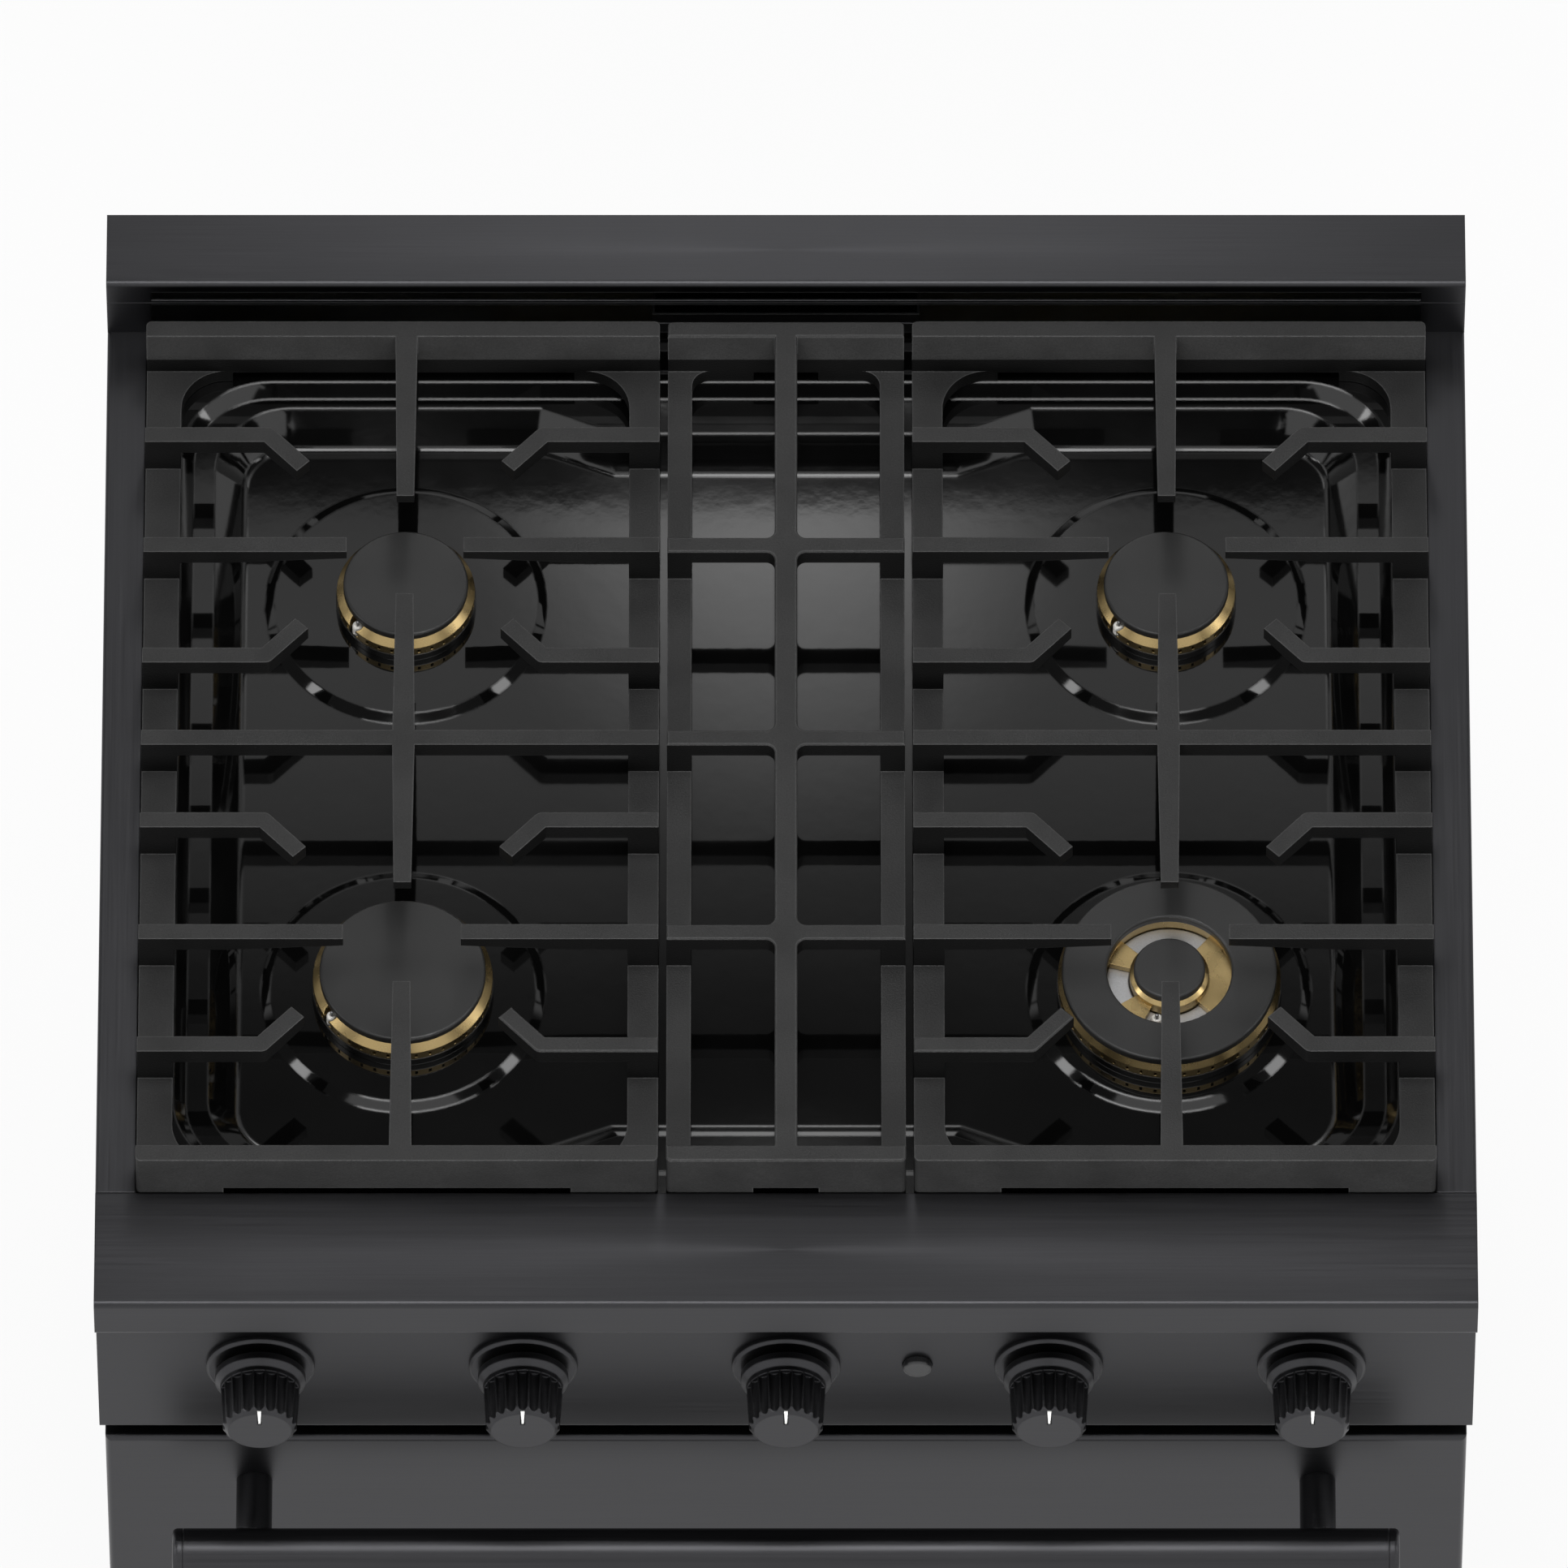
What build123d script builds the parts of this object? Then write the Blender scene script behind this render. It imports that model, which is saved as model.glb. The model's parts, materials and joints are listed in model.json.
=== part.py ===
from build123d import *

import os
from math import atan, cos, degrees, radians, sin

# Freestanding 30-inch gas range, millimetres.
# X runs to the right, +Y to the back, +Z up. The origin is on the floor, in the middle of the footprint.

# Overall sizes
WIDTH = 760.0
COOKTOP_DEPTH = 690.0
COOKTOP_HEIGHT = 914.0
BACKGUARD_HEIGHT = 48.0
BACKGUARD_DEPTH = 47.0
LEG_HEIGHT = 110.0

# Sheet metal and general clearances
SHEET = 1.5
SEAM = 0.5
FIT = 0.3
SHAFT_FIT = 0.05

# Front ledge and side trims
LEDGE_DEPTH = 73.0
LEDGE_HEIGHT = 30.0
EDGE_RADIUS = 3.0
TRIM_WIDTH = 22.0

# Control panel
PANEL_HEIGHT = 132.0
PANEL_SETBACK = 22.0

# Oven door
DOOR_SETBACK = 20.0
DOOR_THICKNESS = 46.0
DOOR_HEIGHT = 535.0
DOOR_SIDE_GAP = 3.0
DOOR_TOP_GAP = 8.0
GASKET_GAP = 6.0
WINDOW_SIDE = 140.0
WINDOW_HEIGHT = 230.0
WINDOW_DROP = 170.0
WINDOW_RADIUS = 14.0
GLASS_THICKNESS = 4.0
GLASS_LAP = 14.0

# Door handle
HANDLE_DIAMETER = 30.0
HANDLE_WALL = 2.0
HANDLE_PLUG = 6.0
HANDLE_SPIGOT = 12.0
HANDLE_STANDOFF = 48.0
HANDLE_END_GAP = 40.0
HANDLE_DROP = 46.0
HANDLE_POST_DIAMETER = 20.0
HANDLE_POST_INSET = 45.0

# Door hinges
HINGE_SIDE = 35.0
HINGE_INSET = 10.0
HINGE_PIN_RADIUS = 4.0
HINGE_HUB_RADIUS = 6.5
HINGE_WEB = 8.0
HINGE_EAR = 4.0
HINGE_EAR_HEIGHT = 70.0
HINGE_PLATE = 2.0
HINGE_PLATE_HEIGHT = 40.0
HINGE_NOTCH = 28.0

# Cooktop pan
PAN_SHEET = 1.5
RIM_DROP = 5.0
RIM_SIDE = 20.0
RIM_FRONT = 15.0
RIM_REAR = 30.0
STEP_DEPTH = 7.0
STEP_TAPER = 45.0
STEP_LEDGE_SIDE = 12.0
STEP_LEDGE_END = 6.0
FLOOR_DEPTH = 30.0
FLOOR_SLOPE = 16.0
RIM_CORNER = 50.0
STEP_CORNER = 42.0
JOG_DEPTH = 17.0
JOG_OUTER_X = 137.0
JOG_INNER_X = 93.0
JOG_RADIUS = 55.0
FLOOR_FILLET = 5.0

# Burners
BURNER_SHIFT = 2.0
BURNER_PITCH = 256.0
RING_DIAMETER = 158.0
RING_BEVEL = 5.5
RING_HEIGHT = 3.0
BASE_HEIGHT = 5.5
HEAD_HEIGHT = 10.0
HEAD_BAND = 6.0
HEAD_WALL = 9.0
CAP_HEIGHT = 4.6
CAP_SPIGOT = 3.0
CAP_EDGE = 1.4
SMALL_CAP_RADIUS = 34.8
LARGE_CAP_RADIUS = 46.0
RING_CAP_RADIUS = 59.5
RING_CAP_HOLE = 34.5
CENTRE_CAP_RADIUS = 19.8
HEAD_PROUD = 3.8
RING_HEAD_PROUD = 2.2
CENTRE_HEAD_HEIGHT = 12.0
CENTRE_HEAD_PROUD = 2.2
DISH_HEIGHT = 2.5
BRIDGE_HEIGHT = 6.5
BRIDGES = ((-45, 50), (138, 165), (213, 243))
SMALL_PORTS = 32
LARGE_PORTS = 40
RING_PORTS = 48
PORT_WIDTH = 1.6
PORT_HEIGHT = 3.0
THROAT_RADIUS = 15.0
THROAT_WALL = 4.0
THROAT_DROP = 34.0
TUBE_DROP = 27.0
TUBE_BOSS = 14.0
TUBE_BOSS_REACH = 20.0
IGNITER_RADIUS = 3.2
IGNITER_INSET = 4.0
IGNITER_HEIGHT = 12.0
IGNITER_TIP = 1.3
IGNITER_TIP_HEIGHT = 3.0
IGNITER_DROP = 24.0
REAR_SPARK_ANGLE = 220
FRONT_SPARK_ANGLE = 212
DUAL_SPARK_ANGLE = 255

# Grates
GRATE_RISE = 32.0
GRATE_GAP = 4.5
GRATE_FRONT_GAP = 1.0
GRATE_REAR_GAP = 14.0
CENTRE_GRATE_WIDTH = 132.0
RAIL_HEIGHT = 9.7
OUTER_RAIL = 19.5
INNER_RAIL = 17.0
CENTRE_RAIL = 13.5
END_BAR = 10.0
END_SLOPE = 5.5
END_SLOPE_DROP = 15.3
BAR = 9.8
BAR_ROOT = 12.5
FINGER_DEPTH = 11.0
TIP_DEPTH = 6.5
TIP_RADIUS = 32.5
BENT_OFFSET = 73.5
BEND_FROM_BURNER = 77.0
BEND_RUN = 20.0
BEND_SHIFT = 21.0
GUSSET = 25.0
CENTRE_GUSSET = 10.0
CROSSING_FILLET = 5.0
GRATE_EDGE = 0.8
GRATE_CORNER = 3.0
ARCH_HEIGHT = 8.5
ARCH_END = 48.0

# Gas train and controls
KNOB_SIDE = 90.0
KNOB_DROP = 66.0
KNOB_SKIRT_RADIUS = 25.0
KNOB_GRIP_RADIUS = 20.5
KNOB_LENGTH = 36.0
KNOB_SKIRT_LENGTH = 7.0
KNOB_BORE_DEPTH = 22.0
KNOB_TRAVEL = 3.0
KNOB_FLUTES = 20
KNOB_FLUTE_RADIUS = 1.5
POINTER_WIDTH = 2.4
POINTER_DEPTH = 1.2
BEZEL_RADIUS = 30.0
BEZEL_HEIGHT = 4.0
BEZEL_BORE = 11.0
STEM_RADIUS = 4.0
STEM_FLAT = 1.2
STEM_HOLE = 6.0
COLLAR_RADIUS = 8.5
COLLAR_LENGTH = 5.0
COLLAR_SETBACK = 14.0
VALVE_RADIUS = 11.0
VALVE_LENGTH = 28.0
VALVE_BORE_DEPTH = 21.0
VALVE_OUTLET_RADIUS = 6.0
VALVE_OUTLET_HEIGHT = 16.0
VALVE_OUTLET_INSET = 9.0
STEM_IN_VALVE = 16.0
MANIFOLD_SIZE = 20.0
MANIFOLD_WALL = 2.0
MANIFOLD_SETBACK = 58.0
MANIFOLD_END = 45.0
PLUG_LENGTH = 5.0
TUBE_RADIUS = 4.0
TUBE_BEND = 12.0
PIPE_RADIUS = 8.0
PIPE_BEND = 24.0
SUPPLY_SIDE = 50.0
SUPPLY_INSET = 40.0
REGULATOR_HEIGHT = 183.0
REGULATOR_RADIUS = 27.0
REGULATOR_BODY = 26.0
BONNET_RADIUS = 15.0
BONNET_HEIGHT = 18.0
INLET_RADIUS = 13.5
INLET_BORE = 9.5
INLET_DEPTH = 18.0
BUTTON_RADIUS = 8.0
BUTTON_PROUD = 4.0
BUTTON_TRAVEL = 2.5
BUTTON_LENGTH = 8.0
BUTTON_STEM_RADIUS = 3.0
BUTTON_STEM_LENGTH = 10.0
SWITCH_SIZE = 26.0
SWITCH_DEPTH = 28.0
SPARK_SIZE = (90.0, 38.0, 36.0)
SPARK_X = -205.0
SPARK_DROP = 114.0
TERMINAL_RADIUS = 3.5
TERMINAL_LENGTH = 9.0

# Oven
CAVITY_SIDE = 80.0
CAVITY_HEIGHT = 446.0
CAVITY_REAR_SPACE = 89.0
CAVITY_CORNER = 14.0
CAVITY_DROP = 52.0
FACE_FLANGE_SIDE = 7.0
FACE_FLANGE_LAP = 2.0
INSULATION = 36.0
GASKET_WIDTH = 11.0
GASKET_OFFSET = 5.0
OVEN_FLOOR_HEIGHT = 38.0
OVEN_FLOOR_FRONT_GAP = 10.0
OVEN_FLOOR_SLOTS = 7
OVEN_FLOOR_SLOT = (70.0, 6.0)
BAKE_RADIUS = 12.0
BAKE_LIFT = 20.0
BAKE_FRONT_GAP = 60.0
BAKE_FOOT = 16.0
BROIL_SIDE = 110.0
BROIL_END = 94.0
BROIL_HEIGHT = 16.0
BROIL_DROP = 8.0
BROIL_HANGER = 5.0
INLET_PIPE_RADIUS = 8.0
INLET_PIPE_REACH = 6.0
OVEN_TUBE_GAP = 18.0
OVEN_TUBE_X = 120.0
FLUE_WIDTH = 150.0
FLUE_HEIGHT = 36.0
FLUE_DEPTH = 30.0
FLUE_DROP = 62.0
FLUE_RISE = 7.0
FLUE_REAR_GAP = 6.0
LAMP_X = -200.0
LAMP_DROP = 76.0
LAMP_LENS_RADIUS = 30.0
LAMP_LENS_DEPTH = 14.0
LAMP_LENS_BULGE = 0.7
LAMP_BASE_RADIUS = 21.0

# Oven racks and their side ladders
WIRE = 3.0
RACK_ROD = 3.5
RACK_WIRE = 2.0
RACK_WIRES = 12
RACK_FRONT_GAP = 28.0
RACK_REAR_GAP = 24.0
RACK_STOP = 16.0
RACK_TIE_BITE = 1.0
RACK_CORNER = 14.0
LADDER_WALL_GAP = 7.0
LADDER_END_GAP = 30.0
LADDER_STEPS = 6
LADDER_PITCH = 55.0
LADDER_FIRST = 84.0
LADDER_END = 12.0
LOWER_RACK_STEP = 1
UPPER_RACK_STEP = 3

# Casing, legs and feet
KICK_SETBACK = 86.0
KICK_DEPTH = 6.0
KICK_GAP = 11.0
BASE_TRAY = 30.0
BACK_INSET = 2.0
SIDE_FLANGE = 26.0
TOP_FLANGE = 32.0
BACK_PANEL_DROP = 3.0
LOUVRE = (70.0, 5.0)
LOUVRE_PITCH = (110.0, 16.0)
LOUVRE_COUNT = (5, 5)
LEG_SIDE = 58.0
LEG_FRONT_INSET = 132.0
LEG_REAR_INSET = 52.0
LEG_RADIUS = 22.0
FOOT_RADIUS = 24.0
FOOT_HEIGHT = 26.0
FOOT_STEM_RADIUS = 16.0
FOOT_STEM_TOP_GAP = 8.0
FOOT_EDGE = 3.0
FOOT_FIT = 0.1

# Backguard vents
VENT_STILE = 25.0
VENT_LIP = 8.0
VENT_BAR_HEIGHT = 30.0
VENT_LOW = 9.0
CAP_LIP = 2.0

# Places worked out from the sizes
HANDLE_LENGTH = WIDTH - 2 * HANDLE_END_GAP
HANDLE_OVERHANG = HANDLE_STANDOFF + HANDLE_DIAMETER / 2 - DOOR_SETBACK
LEDGE_FRONT_Y = (HANDLE_OVERHANG - COOKTOP_DEPTH) / 2
BACK_Y = LEDGE_FRONT_Y + COOKTOP_DEPTH
LEDGE_REAR_Y = LEDGE_FRONT_Y + LEDGE_DEPTH
BACKGUARD_FRONT_Y = BACK_Y - BACKGUARD_DEPTH
BACK_PANEL_Y = BACK_Y - BACK_INSET
BACK_INNER_Y = BACK_PANEL_Y - SHEET
SUPPLY_X = WIDTH / 2 - SUPPLY_SIDE
SPARK_HEIGHT = COOKTOP_HEIGHT - SPARK_DROP
DOOR_FRONT_Y = LEDGE_FRONT_Y + DOOR_SETBACK
DOOR_REAR_Y = DOOR_FRONT_Y + DOOR_THICKNESS
FACE_Y = DOOR_REAR_Y + GASKET_GAP
PANEL_FRONT_Y = LEDGE_FRONT_Y + PANEL_SETBACK
PANEL_TOP_Z = COOKTOP_HEIGHT - LEDGE_HEIGHT
PANEL_BASE_Z = PANEL_TOP_Z - PANEL_HEIGHT
DOOR_TOP_Z = PANEL_BASE_Z - DOOR_TOP_GAP
DOOR_BASE_Z = DOOR_TOP_Z - DOOR_HEIGHT
DOOR_HALF_X = WIDTH / 2 - DOOR_SIDE_GAP
SIDE_X = WIDTH / 2 - SHEET
SIDE_INNER_X = SIDE_X - SHEET
RIM_Z = COOKTOP_HEIGHT - RIM_DROP
PAN_SEAT_Z = RIM_Z - PAN_SHEET
FLOOR_Z = COOKTOP_HEIGHT - FLOOR_DEPTH
STEP_Z = RIM_Z - STEP_DEPTH
RING_Z = FLOOR_Z + RING_HEIGHT
HEAD_Z = RING_Z + BASE_HEIGHT
CAP_Z = HEAD_Z + HEAD_HEIGHT
GRATE_OUTER_X = WIDTH / 2 - TRIM_WIDTH - SEAM
GRATE_INNER_X = CENTRE_GRATE_WIDTH / 2 + GRATE_GAP
BURNER_X = (GRATE_OUTER_X + GRATE_INNER_X) / 2 - BURNER_SHIFT
GRATE_FRONT_Y = LEDGE_REAR_Y + GRATE_FRONT_GAP
GRATE_REAR_Y = BACKGUARD_FRONT_Y - GRATE_REAR_GAP
GRATE_MID_Y = (GRATE_FRONT_Y + GRATE_REAR_Y) / 2
GRATE_BASE_Z = RIM_Z + FIT
GRATE_TOP_Z = COOKTOP_HEIGHT + GRATE_RISE
BURNER_ROWS = (GRATE_MID_Y - BURNER_PITCH / 2, GRATE_MID_Y + BURNER_PITCH / 2)
FRONT_BURNER_Y = BURNER_ROWS[0]
REAR_BURNER_Y = BURNER_ROWS[1]
RECESS_X = WIDTH / 2 - TRIM_WIDTH - RIM_SIDE
RECESS_FRONT_Y = LEDGE_REAR_Y + RIM_FRONT
RECESS_REAR_Y = BACKGUARD_FRONT_Y - RIM_REAR
KNOB_Z = PANEL_TOP_Z - KNOB_DROP
KNOB_BACK_Y = PANEL_FRONT_Y - BEZEL_HEIGHT - KNOB_TRAVEL - SEAM
KNOB_FRONT_Y = KNOB_BACK_Y - KNOB_LENGTH
MANIFOLD_FRONT_Y = PANEL_FRONT_Y + MANIFOLD_SETBACK
MANIFOLD_REAR_Y = MANIFOLD_FRONT_Y + MANIFOLD_SIZE
VALVE_FRONT_Y = MANIFOLD_FRONT_Y - VALVE_LENGTH
VALVE_OUTLET_Y = MANIFOLD_FRONT_Y - VALVE_OUTLET_INSET
VALVE_OUTLET_Z = KNOB_Z + VALVE_OUTLET_HEIGHT
TUBE_Z = RING_Z - TUBE_DROP
CAVITY_TOP_Z = DOOR_TOP_Z - CAVITY_DROP
CAVITY_BASE_Z = CAVITY_TOP_Z - CAVITY_HEIGHT
CAVITY_MID_Z = (CAVITY_TOP_Z + CAVITY_BASE_Z) / 2
CAVITY_WIDTH = WIDTH - 2 * CAVITY_SIDE
INSULATION_REAR_Y = BACK_INNER_Y - CAVITY_REAR_SPACE
LINER_REAR_Y = INSULATION_REAR_Y - INSULATION
CAVITY_REAR_Y = LINER_REAR_Y - SHEET
CAVITY_DEPTH = CAVITY_REAR_Y - FACE_Y
BAKE_Z = CAVITY_BASE_Z + BAKE_LIFT
BROIL_WIDTH = CAVITY_WIDTH - 2 * BROIL_SIDE
BROIL_DEPTH = CAVITY_DEPTH - 2 * BROIL_END
BROIL_Z = CAVITY_TOP_Z - BROIL_DROP - BROIL_HEIGHT / 2
FLUE_Z = CAVITY_TOP_Z - FLUE_DROP
LAMP_Z = CAVITY_TOP_Z - LAMP_DROP
INLET_PIPE_Y = INSULATION_REAR_Y + INLET_PIPE_REACH
OVEN_TUBE_Y = INLET_PIPE_Y + OVEN_TUBE_GAP
HINGE_X = WIDTH / 2 - HINGE_SIDE
HINGE_Y = DOOR_FRONT_Y + HINGE_INSET
HINGE_Z = DOOR_BASE_Z + HINGE_INSET
WINDOW_WIDTH = WIDTH - 2 * WINDOW_SIDE
WINDOW_Z = DOOR_TOP_Z - WINDOW_DROP - WINDOW_HEIGHT / 2
HANDLE_Y = DOOR_FRONT_Y - HANDLE_STANDOFF
HANDLE_Z = DOOR_TOP_Z - HANDLE_DROP
KICK_FRONT_Y = LEDGE_FRONT_Y + KICK_SETBACK
KICK_TOP_Z = DOOR_BASE_Z - KICK_GAP
TRAY_FRONT_Y = KICK_FRONT_Y + KICK_DEPTH
RACK_ROD_X = CAVITY_WIDTH / 2 - LADDER_WALL_GAP - WIRE - RACK_ROD - SEAM
LADDER_X = CAVITY_WIDTH / 2 - LADDER_WALL_GAP
LEG_X = WIDTH / 2 - LEG_SIDE
LEG_FRONT_Y = LEDGE_FRONT_Y + LEG_FRONT_INSET
LEG_REAR_Y = BACK_Y - LEG_REAR_INSET

KNOB_NAMES = ("rear_left", "front_left", "oven", "front_right", "rear_right")
KNOB_PITCH = (WIDTH - 2 * KNOB_SIDE) / (len(KNOB_NAMES) - 1)
KNOB_XS = [KNOB_PITCH * index + KNOB_SIDE - WIDTH / 2 for index in range(len(KNOB_NAMES))]
KNOB_X = dict(zip(KNOB_NAMES, KNOB_XS))
BUTTON_X = KNOB_X["oven"] + KNOB_PITCH / 2

# Each burner: place, cap radius, flame ports, and the igniter's radius and direction from the burner's centre
SMALL_REACH = SMALL_CAP_RADIUS + HEAD_PROUD - IGNITER_INSET
LARGE_REACH = LARGE_CAP_RADIUS + HEAD_PROUD - IGNITER_INSET
DUAL_REACH = (RING_CAP_HOLE + CENTRE_CAP_RADIUS) / 2
BURNERS = {
    "rear_left": (-BURNER_X, REAR_BURNER_Y, SMALL_CAP_RADIUS, SMALL_PORTS, SMALL_REACH, REAR_SPARK_ANGLE),
    "front_left": (-BURNER_X, FRONT_BURNER_Y, LARGE_CAP_RADIUS, LARGE_PORTS, LARGE_REACH, FRONT_SPARK_ANGLE),
    "rear_right": (BURNER_X, REAR_BURNER_Y, SMALL_CAP_RADIUS, SMALL_PORTS, SMALL_REACH, REAR_SPARK_ANGLE),
    "front_right": (BURNER_X, FRONT_BURNER_Y, RING_CAP_RADIUS, RING_PORTS, DUAL_REACH, DUAL_SPARK_ANGLE),
}


def igniter_place(burner):
    """The plan position of a burner's igniter."""
    x, y, _, _, reach, angle = burner
    return (x + reach * cos(radians(angle)), y + reach * sin(radians(angle)))


def span(x, y, z, mode=Mode.ADD):
    """A box between pairs of limits, for sheet returns, brackets and cut-outs."""
    with Locations(((x[0] + x[1]) / 2, (y[0] + y[1]) / 2, (z[0] + z[1]) / 2)):
        Box(x[1] - x[0], y[1] - y[0], z[1] - z[0], mode=mode)


def rod(start, end, radius, mode=Mode.ADD):
    """A round rod between two points, given as an axis-aligned pair."""
    direction = Vector(*end) - Vector(*start)
    with Locations(Plane(origin=start, z_dir=direction)):
        Cylinder(radius, direction.length, align=(Align.CENTER, Align.CENTER, Align.MIN), mode=mode)


def save(piece, name):
    """Label a finished piece and write it as its own file."""
    piece.part.label = name
    export_step(piece.part, f"parts/{name}.step")


def tube_along(points, radius, bend):
    """A round tube through the points, with bends of one radius."""
    with BuildPart() as tube:
        with BuildLine() as route:
            FilletPolyline(*points, radius=bend)
        with BuildSketch(Plane(origin=points[0], z_dir=Vector(*points[1]) - Vector(*points[0]))):
            Circle(radius)
        sweep(path=route.wires()[0])
    return tube.part


os.makedirs("parts", exist_ok=True)

# Side panels: a plate with a front flange behind the oven face and a top flange that carries the pan
with BuildPart() as side_panel_right:
    with BuildSketch(Plane.YZ.offset(SIDE_INNER_X)):
        with BuildLine():
            Polyline(
                (FACE_Y, LEG_HEIGHT),
                (BACK_PANEL_Y, LEG_HEIGHT),
                (BACK_PANEL_Y, PAN_SEAT_Z),
                (LEDGE_REAR_Y + SEAM, PAN_SEAT_Z),
                (LEDGE_REAR_Y + SEAM, PANEL_TOP_Z),
                (FACE_Y, PANEL_TOP_Z),
                close=True,
            )
        make_face()
    extrude(amount=SHEET)
    span(
        (SIDE_X - SIDE_FLANGE, SIDE_INNER_X),
        (FACE_Y + SHEET, FACE_Y + 2 * SHEET),
        (KICK_TOP_Z, PANEL_TOP_Z),
    )
    span(
        (SIDE_X - TOP_FLANGE, SIDE_INNER_X),
        (RECESS_FRONT_Y, BACKGUARD_FRONT_Y),
        (PAN_SEAT_Z - SHEET, PAN_SEAT_Z),
    )
save(side_panel_right, "side_panel_right")

with BuildPart() as side_panel_left:
    mirror(side_panel_right.part, about=Plane.YZ)
save(side_panel_left, "side_panel_left")

# Back panel with louvres over the burner box and a hole for the gas inlet
with BuildPart() as back_panel:
    span(
        (-SIDE_INNER_X, SIDE_INNER_X),
        (BACK_INNER_Y, BACK_PANEL_Y),
        (LEG_HEIGHT, COOKTOP_HEIGHT - BACK_PANEL_DROP),
    )
    with BuildSketch(Plane.XZ.offset(-BACK_INNER_Y)):
        with Locations((0, (PANEL_BASE_Z + PANEL_TOP_Z) / 2)):
            with GridLocations(*LOUVRE_PITCH, *LOUVRE_COUNT):
                SlotOverall(*LOUVRE)
        with Locations((SUPPLY_X, REGULATOR_HEIGHT)):
            Circle(INLET_RADIUS + SEAM)
    extrude(amount=-SHEET, mode=Mode.SUBTRACT)
save(back_panel, "back_panel")

# Base tray, open at the top
with BuildPart() as base_pan:
    span((-SIDE_INNER_X, SIDE_INNER_X), (TRAY_FRONT_Y, BACK_INNER_Y), (LEG_HEIGHT, LEG_HEIGHT + BASE_TRAY))
    offset(amount=-SHEET, openings=base_pan.faces().sort_by(Axis.Z)[-1])
save(base_pan, "base_pan")

# Kick plate, set back below the door
with BuildPart() as kick_plate:
    span((SEAM - SIDE_INNER_X, SIDE_INNER_X - SEAM), (KICK_FRONT_Y, TRAY_FRONT_Y), (LEG_HEIGHT, KICK_TOP_Z))
    offset(amount=-SHEET, openings=kick_plate.faces().sort_by(Axis.Y)[-1])
save(kick_plate, "kick_plate")

# Legs: a fixed sleeve at each corner, with a levelling foot that screws down out of it
LEG_PLACES = {
    "front_left": (-LEG_X, LEG_FRONT_Y),
    "front_right": (LEG_X, LEG_FRONT_Y),
    "rear_left": (-LEG_X, LEG_REAR_Y),
    "rear_right": (LEG_X, LEG_REAR_Y),
}

with BuildPart() as leg_sleeves:
    with BuildSketch(Plane.XY.offset(FOOT_HEIGHT + FIT)):
        with Locations(*LEG_PLACES.values()):
            Circle(LEG_RADIUS)
            Circle(FOOT_STEM_RADIUS + FOOT_FIT, mode=Mode.SUBTRACT)
    extrude(amount=LEG_HEIGHT - FOOT_HEIGHT - FIT)
save(leg_sleeves, "leg_sleeves")

for place, (leg_x, leg_y) in LEG_PLACES.items():
    with BuildPart() as foot:
        with BuildSketch(Plane((leg_x, leg_y, 0))):
            Circle(FOOT_RADIUS)
        extrude(amount=FOOT_HEIGHT)
        fillet(foot.edges().filter_by(GeomType.CIRCLE), radius=FOOT_EDGE)
        with BuildSketch(Plane((leg_x, leg_y, FOOT_HEIGHT))):
            Circle(FOOT_STEM_RADIUS)
        extrude(amount=LEG_HEIGHT - FOOT_HEIGHT - FOOT_STEM_TOP_GAP)
    save(foot, f"foot_{place}")

# Front ledge: a folded box section, open to the rear
with BuildPart() as front_ledge:
    span((-WIDTH / 2, WIDTH / 2), (LEDGE_FRONT_Y, LEDGE_REAR_Y), (PANEL_TOP_Z, COOKTOP_HEIGHT))
    fillet(front_ledge.edges().filter_by(Axis.X).group_by(Axis.Y)[0], radius=EDGE_RADIUS)
    offset(amount=-SHEET, openings=front_ledge.faces().sort_by(Axis.Y)[-1])
save(front_ledge, "front_ledge")

# Side trims: an angle on each top edge, under the backguard at its rear end
with BuildPart() as side_trims:
    with BuildSketch(Plane.XZ.offset(-LEDGE_REAR_Y - SEAM)):
        with BuildLine():
            Polyline(
                (WIDTH / 2 - TRIM_WIDTH, COOKTOP_HEIGHT),
                (WIDTH / 2, COOKTOP_HEIGHT),
                (WIDTH / 2, PANEL_TOP_Z),
                (SIDE_X, PANEL_TOP_Z),
                (SIDE_X, COOKTOP_HEIGHT - SHEET),
                (WIDTH / 2 - TRIM_WIDTH, COOKTOP_HEIGHT - SHEET),
                close=True,
            )
        make_face()
    extrude(amount=LEDGE_REAR_Y + SEAM - BACK_Y)
    fillet(
        side_trims.edges().filter_by(Axis.Y).group_by(Axis.Z)[-1].sort_by(Axis.X)[-1],
        radius=SHEET,
    )
    mirror(about=Plane.YZ)
save(side_trims, "side_trims")

# Backguard: a riser and a cap over it, each with a long vent slot in front
VENT_BAR_Z = COOKTOP_HEIGHT + VENT_BAR_HEIGHT
BACKGUARD_TOP_Z = COOKTOP_HEIGHT + BACKGUARD_HEIGHT
VENT_X = WIDTH / 2 - VENT_STILE

with BuildPart() as backguard_riser:
    span((-WIDTH / 2, WIDTH / 2), (BACKGUARD_FRONT_Y, BACK_Y), (COOKTOP_HEIGHT, VENT_BAR_Z - FIT))
    offset(
        amount=-SHEET,
        openings=backguard_riser.faces().filter_by(Axis.Z),
    )
    span(
        (-VENT_X, VENT_X),
        (BACKGUARD_FRONT_Y - SHEET, BACKGUARD_FRONT_Y + 2 * SHEET),
        (COOKTOP_HEIGHT + VENT_LOW, VENT_BAR_Z - FIT - CAP_LIP),
        mode=Mode.SUBTRACT,
    )

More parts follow.
